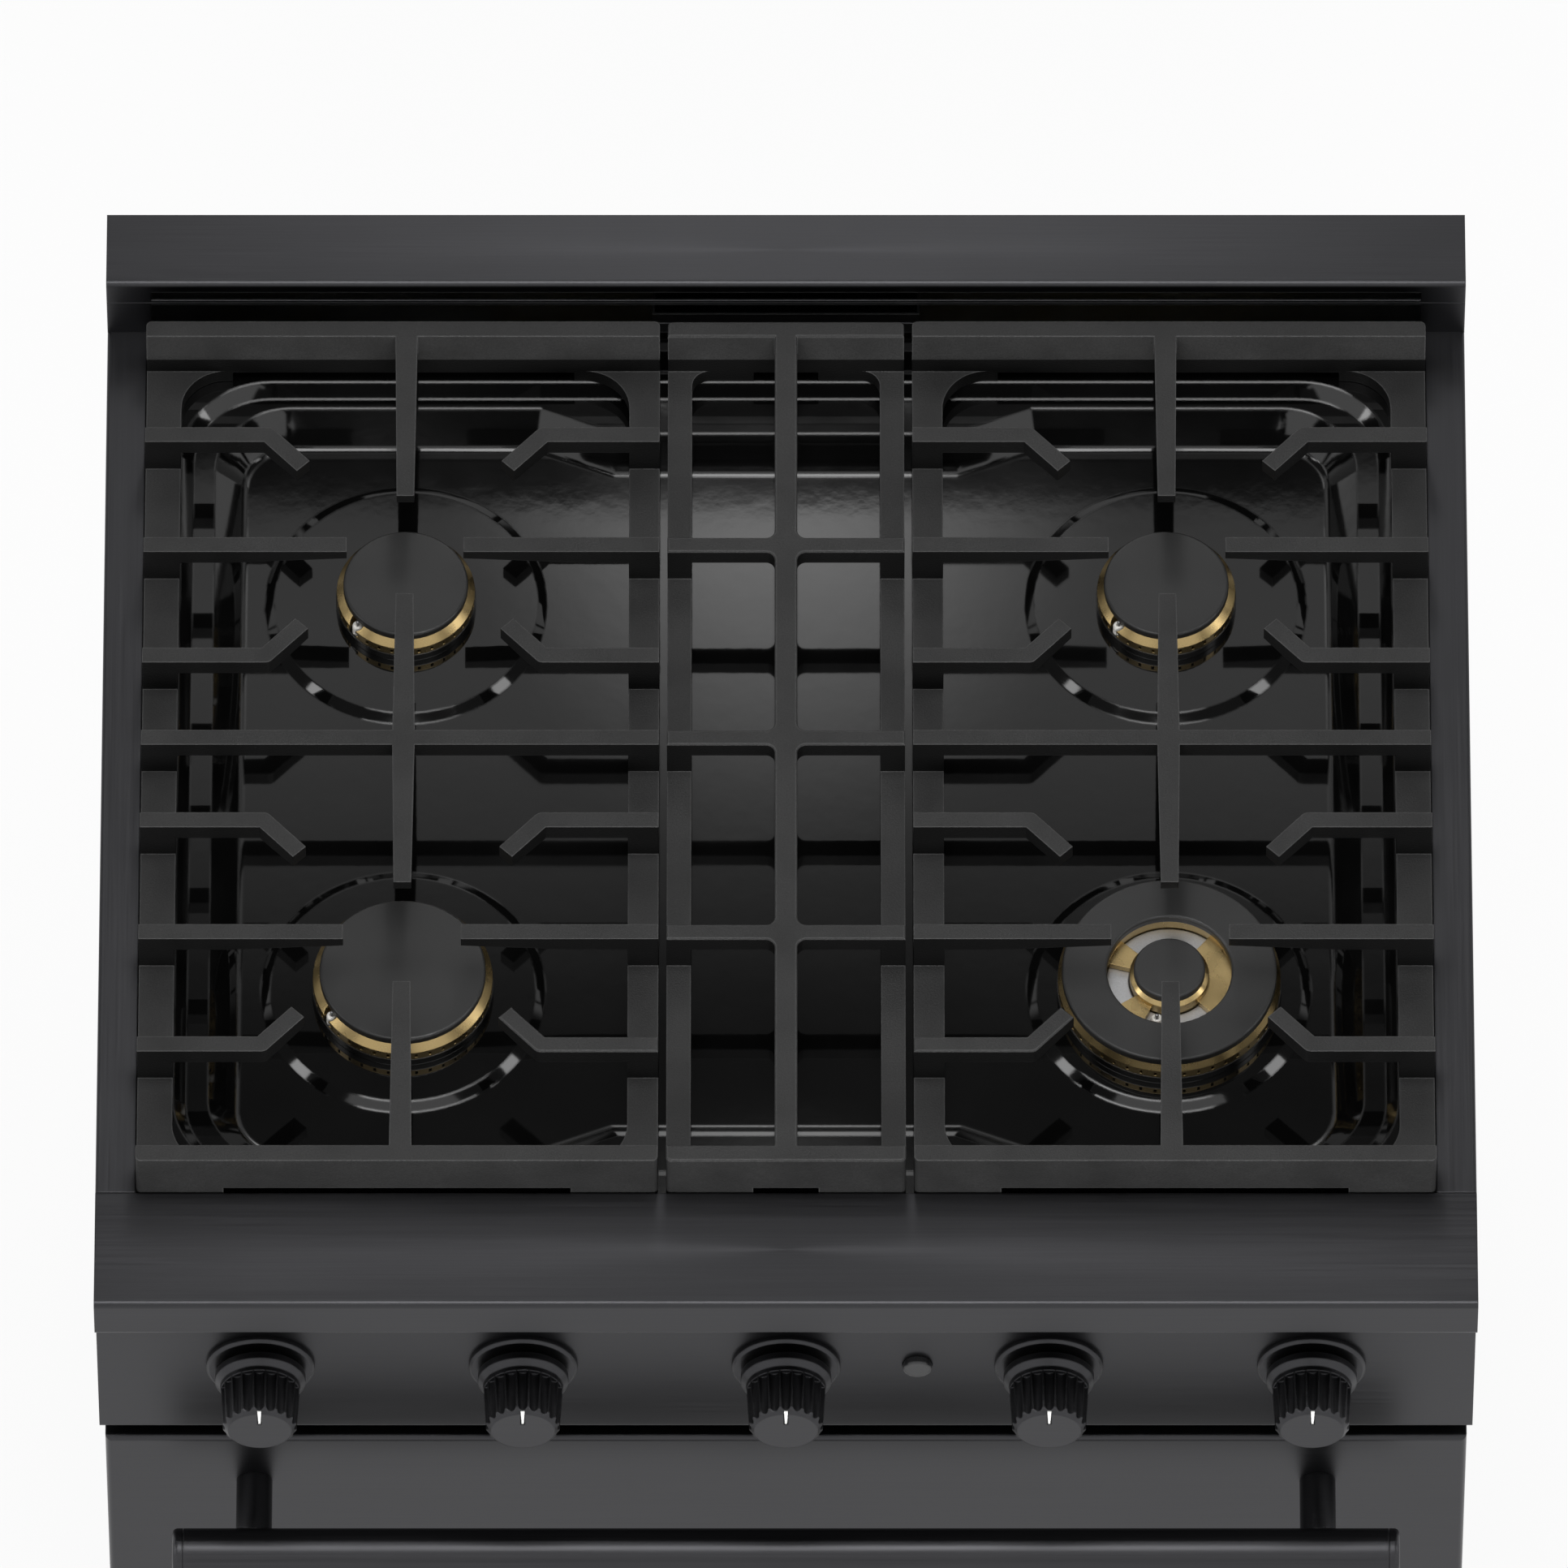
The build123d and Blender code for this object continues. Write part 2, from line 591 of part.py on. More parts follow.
with BuildPart() as backguard:
    span((-WIDTH / 2, WIDTH / 2), (BACKGUARD_FRONT_Y, BACK_Y), (VENT_BAR_Z, BACKGUARD_TOP_Z))
    fillet(backguard.edges().filter_by(Axis.X).group_by(Axis.Z)[-1].sort_by(Axis.Y)[0], radius=EDGE_RADIUS)
    offset(amount=-SHEET, openings=backguard.faces().sort_by(Axis.Z)[0])
    span(
        (-VENT_X, VENT_X),
        (BACKGUARD_FRONT_Y - SHEET, BACKGUARD_FRONT_Y + 2 * SHEET),
        (VENT_BAR_Z + CAP_LIP, BACKGUARD_TOP_Z - VENT_LIP),
        mode=Mode.SUBTRACT,
    )
    add(backguard_riser.part)
save(backguard, "backguard")

# Cooktop pan: a stamped sheet with a stepped recess, whose floor narrows at the middle of the front and rear


def rim_face(grow):
    """The outline of the recess at the rim, grown by the sheet's thickness for the underside."""
    with BuildSketch(Plane.XY.offset(RIM_Z)) as outline:
        with Locations((0, (RECESS_FRONT_Y + RECESS_REAR_Y) / 2)):
            RectangleRounded(
                2 * (RECESS_X + grow), RECESS_REAR_Y - RECESS_FRONT_Y + 2 * grow, RIM_CORNER + grow
            )
    return outline.sketch


def step_face(grow):
    """The outline of the deeper recess at the step, drawn in at the middle of its two long sides."""
    half_x = RECESS_X - STEP_DEPTH - STEP_LEDGE_SIDE
    front = RECESS_FRONT_Y + STEP_DEPTH + STEP_LEDGE_END
    rear = RECESS_REAR_Y - STEP_DEPTH - STEP_LEDGE_END
    corners = [
        (-half_x, front),
        (-JOG_OUTER_X, front),
        (-JOG_INNER_X, front + JOG_DEPTH),
        (JOG_INNER_X, front + JOG_DEPTH),
        (JOG_OUTER_X, front),
        (half_x, front),
        (half_x, rear),
        (JOG_OUTER_X, rear),
        (JOG_INNER_X, rear - JOG_DEPTH),
        (-JOG_INNER_X, rear - JOG_DEPTH),
        (-JOG_OUTER_X, rear),
        (-half_x, rear),
    ]
    with BuildSketch(Plane.XY.offset(STEP_Z)) as outline:
        with BuildLine():
            Polyline(*corners, close=True)
        make_face()
        ends = [point for point in outline.vertices() if abs(point.X) > half_x - SEAM]
        jogs = [point for point in outline.vertices() if abs(point.X) < half_x - SEAM]
        fillet(ends, radius=STEP_CORNER)
        fillet(jogs, radius=JOG_RADIUS)
        if grow:
            offset(amount=grow)
    return outline.sketch


FLOOR_DROP = STEP_Z - FLOOR_Z
FLOOR_TAPER = degrees(atan(FLOOR_SLOPE / FLOOR_DROP))
rim_inside = rim_face(0)
rim_outside = rim_face(PAN_SHEET)
step_inside = step_face(0)
step_outside = step_face(PAN_SHEET)

with BuildPart() as cooktop_pan:
    span(
        (-SIDE_INNER_X, SIDE_INNER_X),
        (LEDGE_REAR_Y + SEAM, BACKGUARD_FRONT_Y - SEAM),
        (PAN_SEAT_Z, RIM_Z),
    )
    extrude(rim_outside, amount=-STEP_DEPTH - PAN_SHEET, taper=STEP_TAPER)
    extrude(step_outside, amount=-FLOOR_DROP - PAN_SHEET, taper=FLOOR_TAPER)
    extrude(rim_inside, amount=-STEP_DEPTH, taper=STEP_TAPER, mode=Mode.SUBTRACT)
    extrude(step_inside, amount=-FLOOR_DROP, taper=FLOOR_TAPER, mode=Mode.SUBTRACT)
    level_faces = cooktop_pan.faces().filter_by(Axis.Z)
    inner_floor = [face for face in level_faces if abs(face.center().Z - FLOOR_Z) < SEAM]
    fillet(inner_floor[0].edges(), radius=FLOOR_FILLET)
    with BuildSketch(Plane.XY.offset(FLOOR_Z)):
        with Locations(*[burner[:2] for burner in BURNERS.values()]):
            Circle(RING_DIAMETER / 2)
    extrude(amount=RING_HEIGHT, taper=degrees(atan(RING_BEVEL / RING_HEIGHT)))
    with BuildSketch(Plane.XY.offset(RING_Z)):
        with Locations(*[burner[:2] for burner in BURNERS.values()]):
            Circle(THROAT_RADIUS + SEAM)
        with Locations(*[igniter_place(burner) for burner in BURNERS.values()]):
            Circle(IGNITER_RADIUS + SEAM)
    extrude(amount=-RING_HEIGHT - 2 * PAN_SHEET, mode=Mode.SUBTRACT)
save(cooktop_pan, "cooktop_pan")

# Burners: black bases with their throats, brass heads with flame ports, caps and ceramic igniters


def section_plane(x, y):
    """The upright plane through a burner's axis, with its height as the plane's second direction."""
    return Plane((x, y, 0), x_dir=(1, 0, 0), z_dir=(0, -1, 0))


def head_radius(burner_name):
    """The outer radius of a burner's brass head."""
    proud = RING_HEAD_PROUD if burner_name == "front_right" else HEAD_PROUD
    return BURNERS[burner_name][2] + proud


THROAT_BORE = THROAT_RADIUS - THROAT_WALL
THROAT_BASE_Z = RING_Z - THROAT_DROP

with BuildPart() as burner_bases:
    for name, burner in BURNERS.items():
        x, y = burner[:2]
        with BuildSketch(section_plane(x, y)):
            with BuildLine():
                Polyline(
                    (0, THROAT_BASE_Z),
                    (THROAT_RADIUS, THROAT_BASE_Z),
                    (THROAT_RADIUS, RING_Z),
                    (head_radius(name) + SEAM, RING_Z),
                    (head_radius(name) + SEAM, HEAD_Z),
                    (THROAT_BORE, HEAD_Z),
                    (THROAT_BORE, THROAT_BASE_Z + THROAT_WALL),
                    (0, THROAT_BASE_Z + THROAT_WALL),
                    close=True,
                )
            make_face()
        revolve(axis=Axis((x, y, 0), (0, 0, 1)))
        side = 1 if (x > 0) == (y > GRATE_MID_Y) else -1
        span(
            sorted((x + side * (THROAT_BORE + SEAM), x + side * TUBE_BOSS_REACH)),
            (y - TUBE_BOSS / 2, y + TUBE_BOSS / 2),
            (TUBE_Z - TUBE_BOSS / 2, TUBE_Z + TUBE_BOSS / 2),
        )
    with BuildSketch(Plane.XY.offset(HEAD_Z)):
        with Locations(*[igniter_place(burner) for burner in BURNERS.values()]):
            Circle(IGNITER_RADIUS + FIT)
    extrude(amount=-BASE_HEIGHT, mode=Mode.SUBTRACT)
save(burner_bases, "burner_bases")

DUAL_X, DUAL_Y = BURNERS["front_right"][:2]
CENTRE_HEAD_RADIUS = CENTRE_CAP_RADIUS + CENTRE_HEAD_PROUD

with BuildPart() as burner_heads:
    for name, burner in BURNERS.items():
        x, y, cap_radius, ports = burner[:4]
        outer = head_radius(name)
        inner = RING_CAP_HOLE + SEAM if name == "front_right" else outer - HEAD_WALL
        with BuildSketch(section_plane(x, y)):
            with BuildLine():
                Polyline(
                    (inner, HEAD_Z),
                    (outer, HEAD_Z),
                    (outer, HEAD_Z + HEAD_BAND),
                    (cap_radius - SEAM, CAP_Z),
                    (inner, CAP_Z),
                    close=True,
                )
            make_face()
        revolve(axis=Axis((x, y, 0), (0, 0, 1)))
        with Locations((x, y, HEAD_Z + HEAD_BAND / 2)):
            with PolarLocations(outer, ports):
                Box(HEAD_WALL, PORT_WIDTH, PORT_HEIGHT, mode=Mode.SUBTRACT)
        if name != "front_right":
            with Locations((*igniter_place(burner), CAP_Z)):
                Cylinder(IGNITER_RADIUS + CAP_EDGE, 3 * HEAD_HEIGHT, mode=Mode.SUBTRACT)
    with BuildSketch(section_plane(DUAL_X, DUAL_Y)):
        with BuildLine():
            Polyline(
                (THROAT_BORE, HEAD_Z),
                (CENTRE_HEAD_RADIUS, HEAD_Z),
                (CENTRE_HEAD_RADIUS, HEAD_Z + CENTRE_HEAD_HEIGHT - CENTRE_HEAD_PROUD),
                (CENTRE_CAP_RADIUS - SEAM, HEAD_Z + CENTRE_HEAD_HEIGHT),
                (THROAT_BORE, HEAD_Z + CENTRE_HEAD_HEIGHT),
                close=True,
            )
        make_face()
    revolve(axis=Axis((DUAL_X, DUAL_Y, 0), (0, 0, 1)))
    for start, end in BRIDGES:
        reach = 2 * RING_CAP_RADIUS
        middle = (start + end) / 2
        wedge = [(reach * cos(radians(angle)), reach * sin(radians(angle))) for angle in (start, middle, end)]
        with BuildSketch(Plane((DUAL_X, DUAL_Y, HEAD_Z + DISH_HEIGHT + FIT))):
            Circle(RING_CAP_HOLE + 2 * SEAM)
            Circle(CENTRE_HEAD_RADIUS - SEAM, mode=Mode.SUBTRACT)
            Polygon((0, 0), *wedge, align=None, mode=Mode.INTERSECT)
        extrude(amount=BRIDGE_HEIGHT - DISH_HEIGHT)
save(burner_heads, "burner_heads")

with BuildPart() as burner_dish:
    with BuildSketch(Plane((DUAL_X, DUAL_Y, HEAD_Z))):
        Circle(RING_CAP_HOLE)
        Circle(CENTRE_HEAD_RADIUS + SEAM, mode=Mode.SUBTRACT)
    extrude(amount=DISH_HEIGHT)
    with Locations((*igniter_place(BURNERS["front_right"]), HEAD_Z)):
        Cylinder(IGNITER_RADIUS + FIT, 3 * HEAD_HEIGHT, mode=Mode.SUBTRACT)
save(burner_dish, "burner_dish")

with BuildPart() as burner_caps:
    for name, burner in BURNERS.items():
        x, y, cap_radius = burner[:3]
        base_z = CAP_Z
        spigot = cap_radius + HEAD_PROUD - HEAD_WALL - FIT
        hole = 0
        if name == "front_right":
            spigot = cap_radius - HEAD_WALL
            hole = RING_CAP_HOLE
        with BuildSketch(section_plane(x, y)):
            with BuildLine():
                Polyline(
                    (hole, base_z),
                    (cap_radius, base_z),
                    (cap_radius, base_z + CAP_HEIGHT),
                    (hole, base_z + CAP_HEIGHT),
                    close=True,
                )
            make_face()
            if not hole:
                with Locations((spigot / 2, base_z - CAP_SPIGOT / 2)):
                    Rectangle(spigot, CAP_SPIGOT)
        revolve(axis=Axis((x, y, 0), (0, 0, 1)))
    centre_cap_z = HEAD_Z + CENTRE_HEAD_HEIGHT
    with BuildSketch(section_plane(DUAL_X, DUAL_Y)):
        with Locations((CENTRE_CAP_RADIUS / 2, centre_cap_z + CAP_HEIGHT / 2)):
            Rectangle(CENTRE_CAP_RADIUS, CAP_HEIGHT)
        with Locations(((THROAT_BORE - FIT) / 2, centre_cap_z - CAP_SPIGOT / 2)):
            Rectangle(THROAT_BORE - FIT, CAP_SPIGOT)
    revolve(axis=Axis((DUAL_X, DUAL_Y, 0), (0, 0, 1)))
    cap_tops = [face for face in burner_caps.faces().filter_by(Axis.Z) if face.normal_at().Z > 0.5]
    fillet([edge for face in cap_tops for edge in face.edges()], radius=CAP_EDGE)
save(burner_caps, "burner_caps")

with BuildPart() as burner_igniters:
    for burner in BURNERS.values():
        x, y = igniter_place(burner)
        rod((x, y, RING_Z - IGNITER_DROP), (x, y, RING_Z + IGNITER_HEIGHT), IGNITER_RADIUS)
        tip_z = RING_Z + IGNITER_HEIGHT
        rod((x, y, tip_z), (x, y, tip_z + IGNITER_TIP_HEIGHT), IGNITER_TIP)
save(burner_igniters, "burner_igniters")

# Grates: cast frames on low rails, with fins that rise from the rails to the fingers


def grate_frame(left, right, left_rail, right_rail, gusset):
    """The low rails with gusseted corners, and the tall end bars that slope inside and stand on feet."""
    length = GRATE_REAR_Y - GRATE_FRONT_Y
    with BuildPart() as frame:
        with BuildSketch(Plane.XY.offset(GRATE_BASE_Z)):
            with Locations(((left + right) / 2, GRATE_MID_Y)):
                Rectangle(right - left, length)
            with Locations(((left + left_rail + right - right_rail) / 2, GRATE_MID_Y)):
                RectangleRounded(
                    right - left - left_rail - right_rail,
                    length - 2 * END_BAR - 2 * END_SLOPE,
                    gusset,
                    mode=Mode.SUBTRACT,
                )
        extrude(amount=RAIL_HEIGHT)
        with BuildSketch(Plane.XY.offset(GRATE_BASE_Z)):
            with Locations(((left + right) / 2, GRATE_MID_Y)):
                with GridLocations(0, length - END_BAR, 1, 2):
                    Rectangle(right - left, END_BAR)
        extrude(amount=GRATE_TOP_Z - GRATE_BASE_Z)
        with BuildSketch(Plane.YZ.offset(left)):
            for bar_y, inward in ((GRATE_FRONT_Y + END_BAR, END_SLOPE), (GRATE_REAR_Y - END_BAR, -END_SLOPE)):
                Polygon(
                    (bar_y, GRATE_TOP_Z),
                    (bar_y + inward, GRATE_TOP_Z - END_SLOPE_DROP),
                    (bar_y + inward, GRATE_BASE_Z),
                    (bar_y, GRATE_BASE_Z),
                    align=None,
                )
        extrude(amount=right - left)
        span(
            (left + ARCH_END, right - ARCH_END),
            (GRATE_FRONT_Y - SEAM, GRATE_REAR_Y + SEAM),
            (GRATE_BASE_Z - SEAM, GRATE_BASE_Z + ARCH_HEIGHT),
            mode=Mode.SUBTRACT,
        )
        corners = [
            edge
            for edge in frame.edges().filter_by(Axis.Z)
            if edge.length > RAIL_HEIGHT and abs(abs(edge.center().Y - GRATE_MID_Y) - length / 2) < SEAM
        ]
        fillet(corners, radius=GRATE_CORNER)
    return frame.part


def finger_corners(start, end, root=BAR_ROOT, tip=BAR):
    """The plan corners of a straight finger that narrows from its root to its tip."""
    first = Vector(*start)
    last = Vector(*end)
    along = (last - first).normalized()
    across = Vector(-along.Y, along.X)
    corners = (
        first + across * root / 2,
        first - across * root / 2,
        last - across * tip / 2,
        last + across * tip / 2,
    )
    return [(corner.X, corner.Y) for corner in corners]


FINGER_BASE_Z = GRATE_TOP_Z - FINGER_DEPTH
left_frame = grate_frame(-GRATE_OUTER_X, -GRATE_INNER_X, OUTER_RAIL, INNER_RAIL, GUSSET)

with BuildPart() as grate_left:
    add(left_frame)
    with BuildSketch(Plane.XY.offset(FINGER_BASE_Z)):
        with Locations((-(GRATE_OUTER_X + GRATE_INNER_X) / 2, GRATE_MID_Y)):
            Rectangle(GRATE_OUTER_X - GRATE_INNER_X, BAR)
        for row_y, end_y in zip(BURNER_ROWS, (GRATE_FRONT_Y + END_BAR / 2, GRATE_REAR_Y - END_BAR / 2)):
            outward = TIP_RADIUS if end_y > row_y else -TIP_RADIUS
            Polygon(*finger_corners((-BURNER_X, end_y), (-BURNER_X, row_y + outward)), align=None)
            Polygon(*finger_corners((-BURNER_X, GRATE_MID_Y), (-BURNER_X, row_y - outward)), align=None)
            for side, edge_x in ((-1, -GRATE_OUTER_X), (1, -GRATE_INNER_X)):
                tip = (side * TIP_RADIUS - BURNER_X, row_y)
                Polygon(*finger_corners((edge_x, row_y), tip, BAR), align=None)
                for turn in (-1, 1):
                    bent_y = row_y + turn * BENT_OFFSET
                    bend_x = side * BEND_FROM_BURNER - BURNER_X
                    bent_tip = (bend_x - side * BEND_RUN, bent_y - turn * BEND_SHIFT)
                    Polygon(*finger_corners((edge_x, bent_y), (bend_x, bent_y), BAR), align=None)
                    Polygon(*finger_corners((bend_x, bent_y), bent_tip, BAR), align=None)
                    with Locations((bend_x, bent_y)):
                        Circle(BAR / 2)
    extrude(amount=FINGER_DEPTH)
    finger_rows = [GRATE_MID_Y]
    for row_y in BURNER_ROWS:
        finger_rows += [row_y - BENT_OFFSET, row_y, row_y + BENT_OFFSET]
    with BuildSketch(Plane.XY.offset(GRATE_BASE_Z)):
        with Locations(*[(OUTER_RAIL / 2 - GRATE_OUTER_X, row_y) for row_y in finger_rows]):
            Rectangle(OUTER_RAIL, BAR)
        with Locations(*[(-INNER_RAIL / 2 - GRATE_INNER_X, row_y) for row_y in finger_rows]):
            Rectangle(INNER_RAIL, BAR)
    extrude(amount=GRATE_TOP_Z - GRATE_BASE_Z)
    with Locations(*[(-BURNER_X, row_y, FINGER_BASE_Z) for row_y in BURNER_ROWS]):
        Cone(
            BEND_FROM_BURNER + BEND_RUN,
            TIP_RADIUS,
            FINGER_DEPTH - TIP_DEPTH,
            align=(Align.CENTER, Align.CENTER, Align.MIN),
            mode=Mode.SUBTRACT,
        )
    chamfer(grate_left.faces().sort_by(Axis.Z)[-1].edges(), length=GRATE_EDGE)
save(grate_left, "grate_left")

with BuildPart() as grate_right:
    mirror(grate_left.part, about=Plane.YZ)
save(grate_right, "grate_right")

centre_frame = grate_frame(
    -CENTRE_GRATE_WIDTH / 2, CENTRE_GRATE_WIDTH / 2, CENTRE_RAIL, CENTRE_RAIL, CENTRE_GUSSET
)

with BuildPart() as grate_centre:
    add(centre_frame)
    with BuildSketch(Plane.XY.offset(FINGER_BASE_Z)) as lattice:
        with Locations((0, GRATE_MID_Y)):
            Rectangle(BAR_ROOT, GRATE_REAR_Y - GRATE_FRONT_Y - END_BAR)
            with GridLocations(0, BURNER_PITCH / 2, 1, 3):
                Rectangle(CENTRE_GRATE_WIDTH, BAR)
        crossings = [point for point in lattice.vertices() if abs(abs(point.X) - BAR_ROOT / 2) < FIT]
        lattice_end = BURNER_PITCH / 2 + BAR
        crossings = [point for point in crossings if abs(point.Y - GRATE_MID_Y) < lattice_end]
        fillet(crossings, radius=CROSSING_FILLET)
    extrude(amount=FINGER_DEPTH)
    with BuildSketch(Plane.XY.offset(GRATE_BASE_Z)):
        with Locations((0, GRATE_MID_Y)):
            with GridLocations(CENTRE_GRATE_WIDTH - CENTRE_RAIL, BURNER_PITCH / 2, 2, 3):
                Rectangle(CENTRE_RAIL, BAR)
    extrude(amount=GRATE_TOP_Z - GRATE_BASE_Z)
    chamfer(grate_centre.faces().sort_by(Axis.Z)[-1].edges(), length=GRATE_EDGE)
save(grate_centre, "grate_centre")

# Gas train: regulator, supply pipe, manifold, valves and burner tubes
REGULATOR_TOP_Z = REGULATOR_HEIGHT + REGULATOR_BODY / 2 + BONNET_HEIGHT
SUPPLY_Y = BACK_INNER_Y - SUPPLY_INSET

with BuildPart() as gas_regulator:
    with BuildSketch(section_plane(SUPPLY_X, SUPPLY_Y)):
        with BuildLine():
            Polyline(
                (0, REGULATOR_HEIGHT - REGULATOR_BODY / 2),
                (REGULATOR_RADIUS, REGULATOR_HEIGHT - REGULATOR_BODY / 2),
                (REGULATOR_RADIUS, REGULATOR_HEIGHT + REGULATOR_BODY / 2),
                (BONNET_RADIUS, REGULATOR_TOP_Z - BONNET_HEIGHT / 2),
                (BONNET_RADIUS, REGULATOR_TOP_Z),
                (0, REGULATOR_TOP_Z),
                close=True,
            )
        make_face()
    revolve(axis=Axis((SUPPLY_X, SUPPLY_Y, 0), (0, 0, 1)))
    rod((SUPPLY_X, SUPPLY_Y, REGULATOR_HEIGHT), (SUPPLY_X, BACK_PANEL_Y, REGULATOR_HEIGHT), INLET_RADIUS)
    rod(
        (SUPPLY_X, BACK_PANEL_Y, REGULATOR_HEIGHT),
        (SUPPLY_X, BACK_PANEL_Y - INLET_DEPTH, REGULATOR_HEIGHT),
        INLET_BORE,
        mode=Mode.SUBTRACT,
    )
save(gas_regulator, "gas_regulator")

supply_route = [
    (SUPPLY_X, SUPPLY_Y, REGULATOR_TOP_Z),
    (SUPPLY_X, SUPPLY_Y, KNOB_Z),
    (SUPPLY_X, MANIFOLD_REAR_Y, KNOB_Z),
]
supply_tube = tube_along(supply_route, PIPE_RADIUS, PIPE_BEND)

with BuildPart() as gas_supply_pipe:
    add(supply_tube)
save(gas_supply_pipe, "gas_supply_pipe")

MANIFOLD_X = KNOB_XS[-1] + MANIFOLD_END
MANIFOLD_BORE = MANIFOLD_SIZE - 2 * MANIFOLD_WALL

with BuildPart() as gas_manifold:
    with BuildSketch(Plane.YZ.offset(-MANIFOLD_X)):
        with Locations((MANIFOLD_FRONT_Y + MANIFOLD_SIZE / 2, KNOB_Z)):
            RectangleRounded(MANIFOLD_SIZE, MANIFOLD_SIZE, MANIFOLD_WALL)
            Rectangle(MANIFOLD_BORE, MANIFOLD_BORE, mode=Mode.SUBTRACT)
    extrude(amount=2 * MANIFOLD_X)
    for end in (-1, 1):
        with BuildSketch(Plane.YZ.offset(end * (MANIFOLD_X + FIT))):
            with Locations((MANIFOLD_FRONT_Y + MANIFOLD_SIZE / 2, KNOB_Z)):
                RegularPolygon(MANIFOLD_SIZE / 2, 6)
        extrude(amount=end * PLUG_LENGTH)
save(gas_manifold, "gas_manifold")

with BuildPart() as gas_valves:
    for x in KNOB_XS:
        rod((x, MANIFOLD_FRONT_Y, KNOB_Z), (x, VALVE_FRONT_Y, KNOB_Z), VALVE_RADIUS)
        rod((x, VALVE_OUTLET_Y, KNOB_Z), (x, VALVE_OUTLET_Y, VALVE_OUTLET_Z), VALVE_OUTLET_RADIUS)
        rod(
            (x, VALVE_FRONT_Y, KNOB_Z),
            (x, VALVE_FRONT_Y + VALVE_BORE_DEPTH, KNOB_Z),
            STEM_RADIUS + FIT,
            mode=Mode.SUBTRACT,
        )
    chamfer(
        gas_valves.edges().filter_by(GeomType.CIRCLE).group_by(SortBy.RADIUS)[-1].group_by(Axis.Y)[0],
        length=EDGE_RADIUS / 2,
    )
save(gas_valves, "gas_valves")

tubes = []
for name, burner in BURNERS.items():
    x, y = burner[:2]
    knob_x = KNOB_X[name]
    side = 1 if knob_x > x else -1
    route = [
        (knob_x, VALVE_OUTLET_Y, VALVE_OUTLET_Z),
        (knob_x, VALVE_OUTLET_Y, TUBE_Z),
        (knob_x, y, TUBE_Z),
        (x + side * TUBE_BOSS_REACH, y, TUBE_Z),
    ]
    tubes.append(tube_along(route, TUBE_RADIUS, TUBE_BEND))

oven_route = [
    (KNOB_X["oven"], VALVE_OUTLET_Y, VALVE_OUTLET_Z),
    (KNOB_X["oven"], VALVE_OUTLET_Y, TUBE_Z),
    (KNOB_X["oven"], OVEN_TUBE_Y, TUBE_Z),
    (OVEN_TUBE_X, OVEN_TUBE_Y, TUBE_Z),
    (OVEN_TUBE_X, OVEN_TUBE_Y, BAKE_Z),
    (0, OVEN_TUBE_Y, BAKE_Z),
    (0, INLET_PIPE_Y, BAKE_Z),
]
tubes.append(tube_along(oven_route, TUBE_RADIUS, TUBE_BEND))

with BuildPart() as burner_tubes:
    add(tubes)
    rod((OVEN_TUBE_X, OVEN_TUBE_Y, BROIL_Z), (OVEN_TUBE_X, INLET_PIPE_Y, BROIL_Z), TUBE_RADIUS)
save(burner_tubes, "burner_tubes")

with BuildPart() as spark_module:
    with Locations((SPARK_X, BACK_INNER_Y - SPARK_SIZE[1] / 2, SPARK_HEIGHT)):
        Box(*SPARK_SIZE)
    fillet(spark_module.edges().filter_by(Axis.Y), radius=EDGE_RADIUS)
    spark_front_y = BACK_INNER_Y - SPARK_SIZE[1]
    with Locations(Plane((SPARK_X, spark_front_y, SPARK_HEIGHT), x_dir=(1, 0, 0), z_dir=(0, -1, 0))):
        with GridLocations(SPARK_SIZE[0] / 5, 0, 4, 1):
            Cylinder(TERMINAL_RADIUS, TERMINAL_LENGTH, align=(Align.CENTER, Align.CENTER, Align.MIN))
save(spark_module, "spark_module")

# Control panel with its knobs, and the lamp's push button
with BuildPart() as control_panel:
    span((-WIDTH / 2, WIDTH / 2), (PANEL_FRONT_Y, FACE_Y), (PANEL_BASE_Z, PANEL_TOP_Z))
    fillet(control_panel.edges().filter_by(Axis.X).group_by(Axis.Y)[0].sort_by(Axis.Z)[0], radius=EDGE_RADIUS)
    offset(amount=-SHEET, openings=control_panel.faces().sort_by(Axis.Y)[-1])
    with BuildSketch(Plane.XZ.offset(-PANEL_FRONT_Y)):
        with Locations(*[(x, KNOB_Z) for x in KNOB_XS]):
            Circle(STEM_HOLE)
        with Locations((BUTTON_X, KNOB_Z)):
            Circle(BUTTON_RADIUS + FIT)
    extrude(amount=-SHEET, mode=Mode.SUBTRACT)
save(control_panel, "control_panel")

with BuildPart() as knob_bezels:
    with BuildSketch(Plane.XZ.offset(-PANEL_FRONT_Y)):
        with Locations(*[(x, KNOB_Z) for x in KNOB_XS]):
            Circle(BEZEL_RADIUS)
            Circle(BEZEL_BORE, mode=Mode.SUBTRACT)
    extrude(amount=BEZEL_HEIGHT)
    chamfer(knob_bezels.faces().group_by(Axis.Y)[0].edges(), length=SHEET)
save(knob_bezels, "knob_bezels")

STEM_FRONT_Y = KNOB_BACK_Y - KNOB_BORE_DEPTH + SEAM
STEM_REAR_Y = VALVE_FRONT_Y + STEM_IN_VALVE
COLLAR_FRONT_Y = PANEL_FRONT_Y + COLLAR_SETBACK
KNOB_SIDE_Y = KNOB_BACK_Y - KNOB_SKIRT_LENGTH

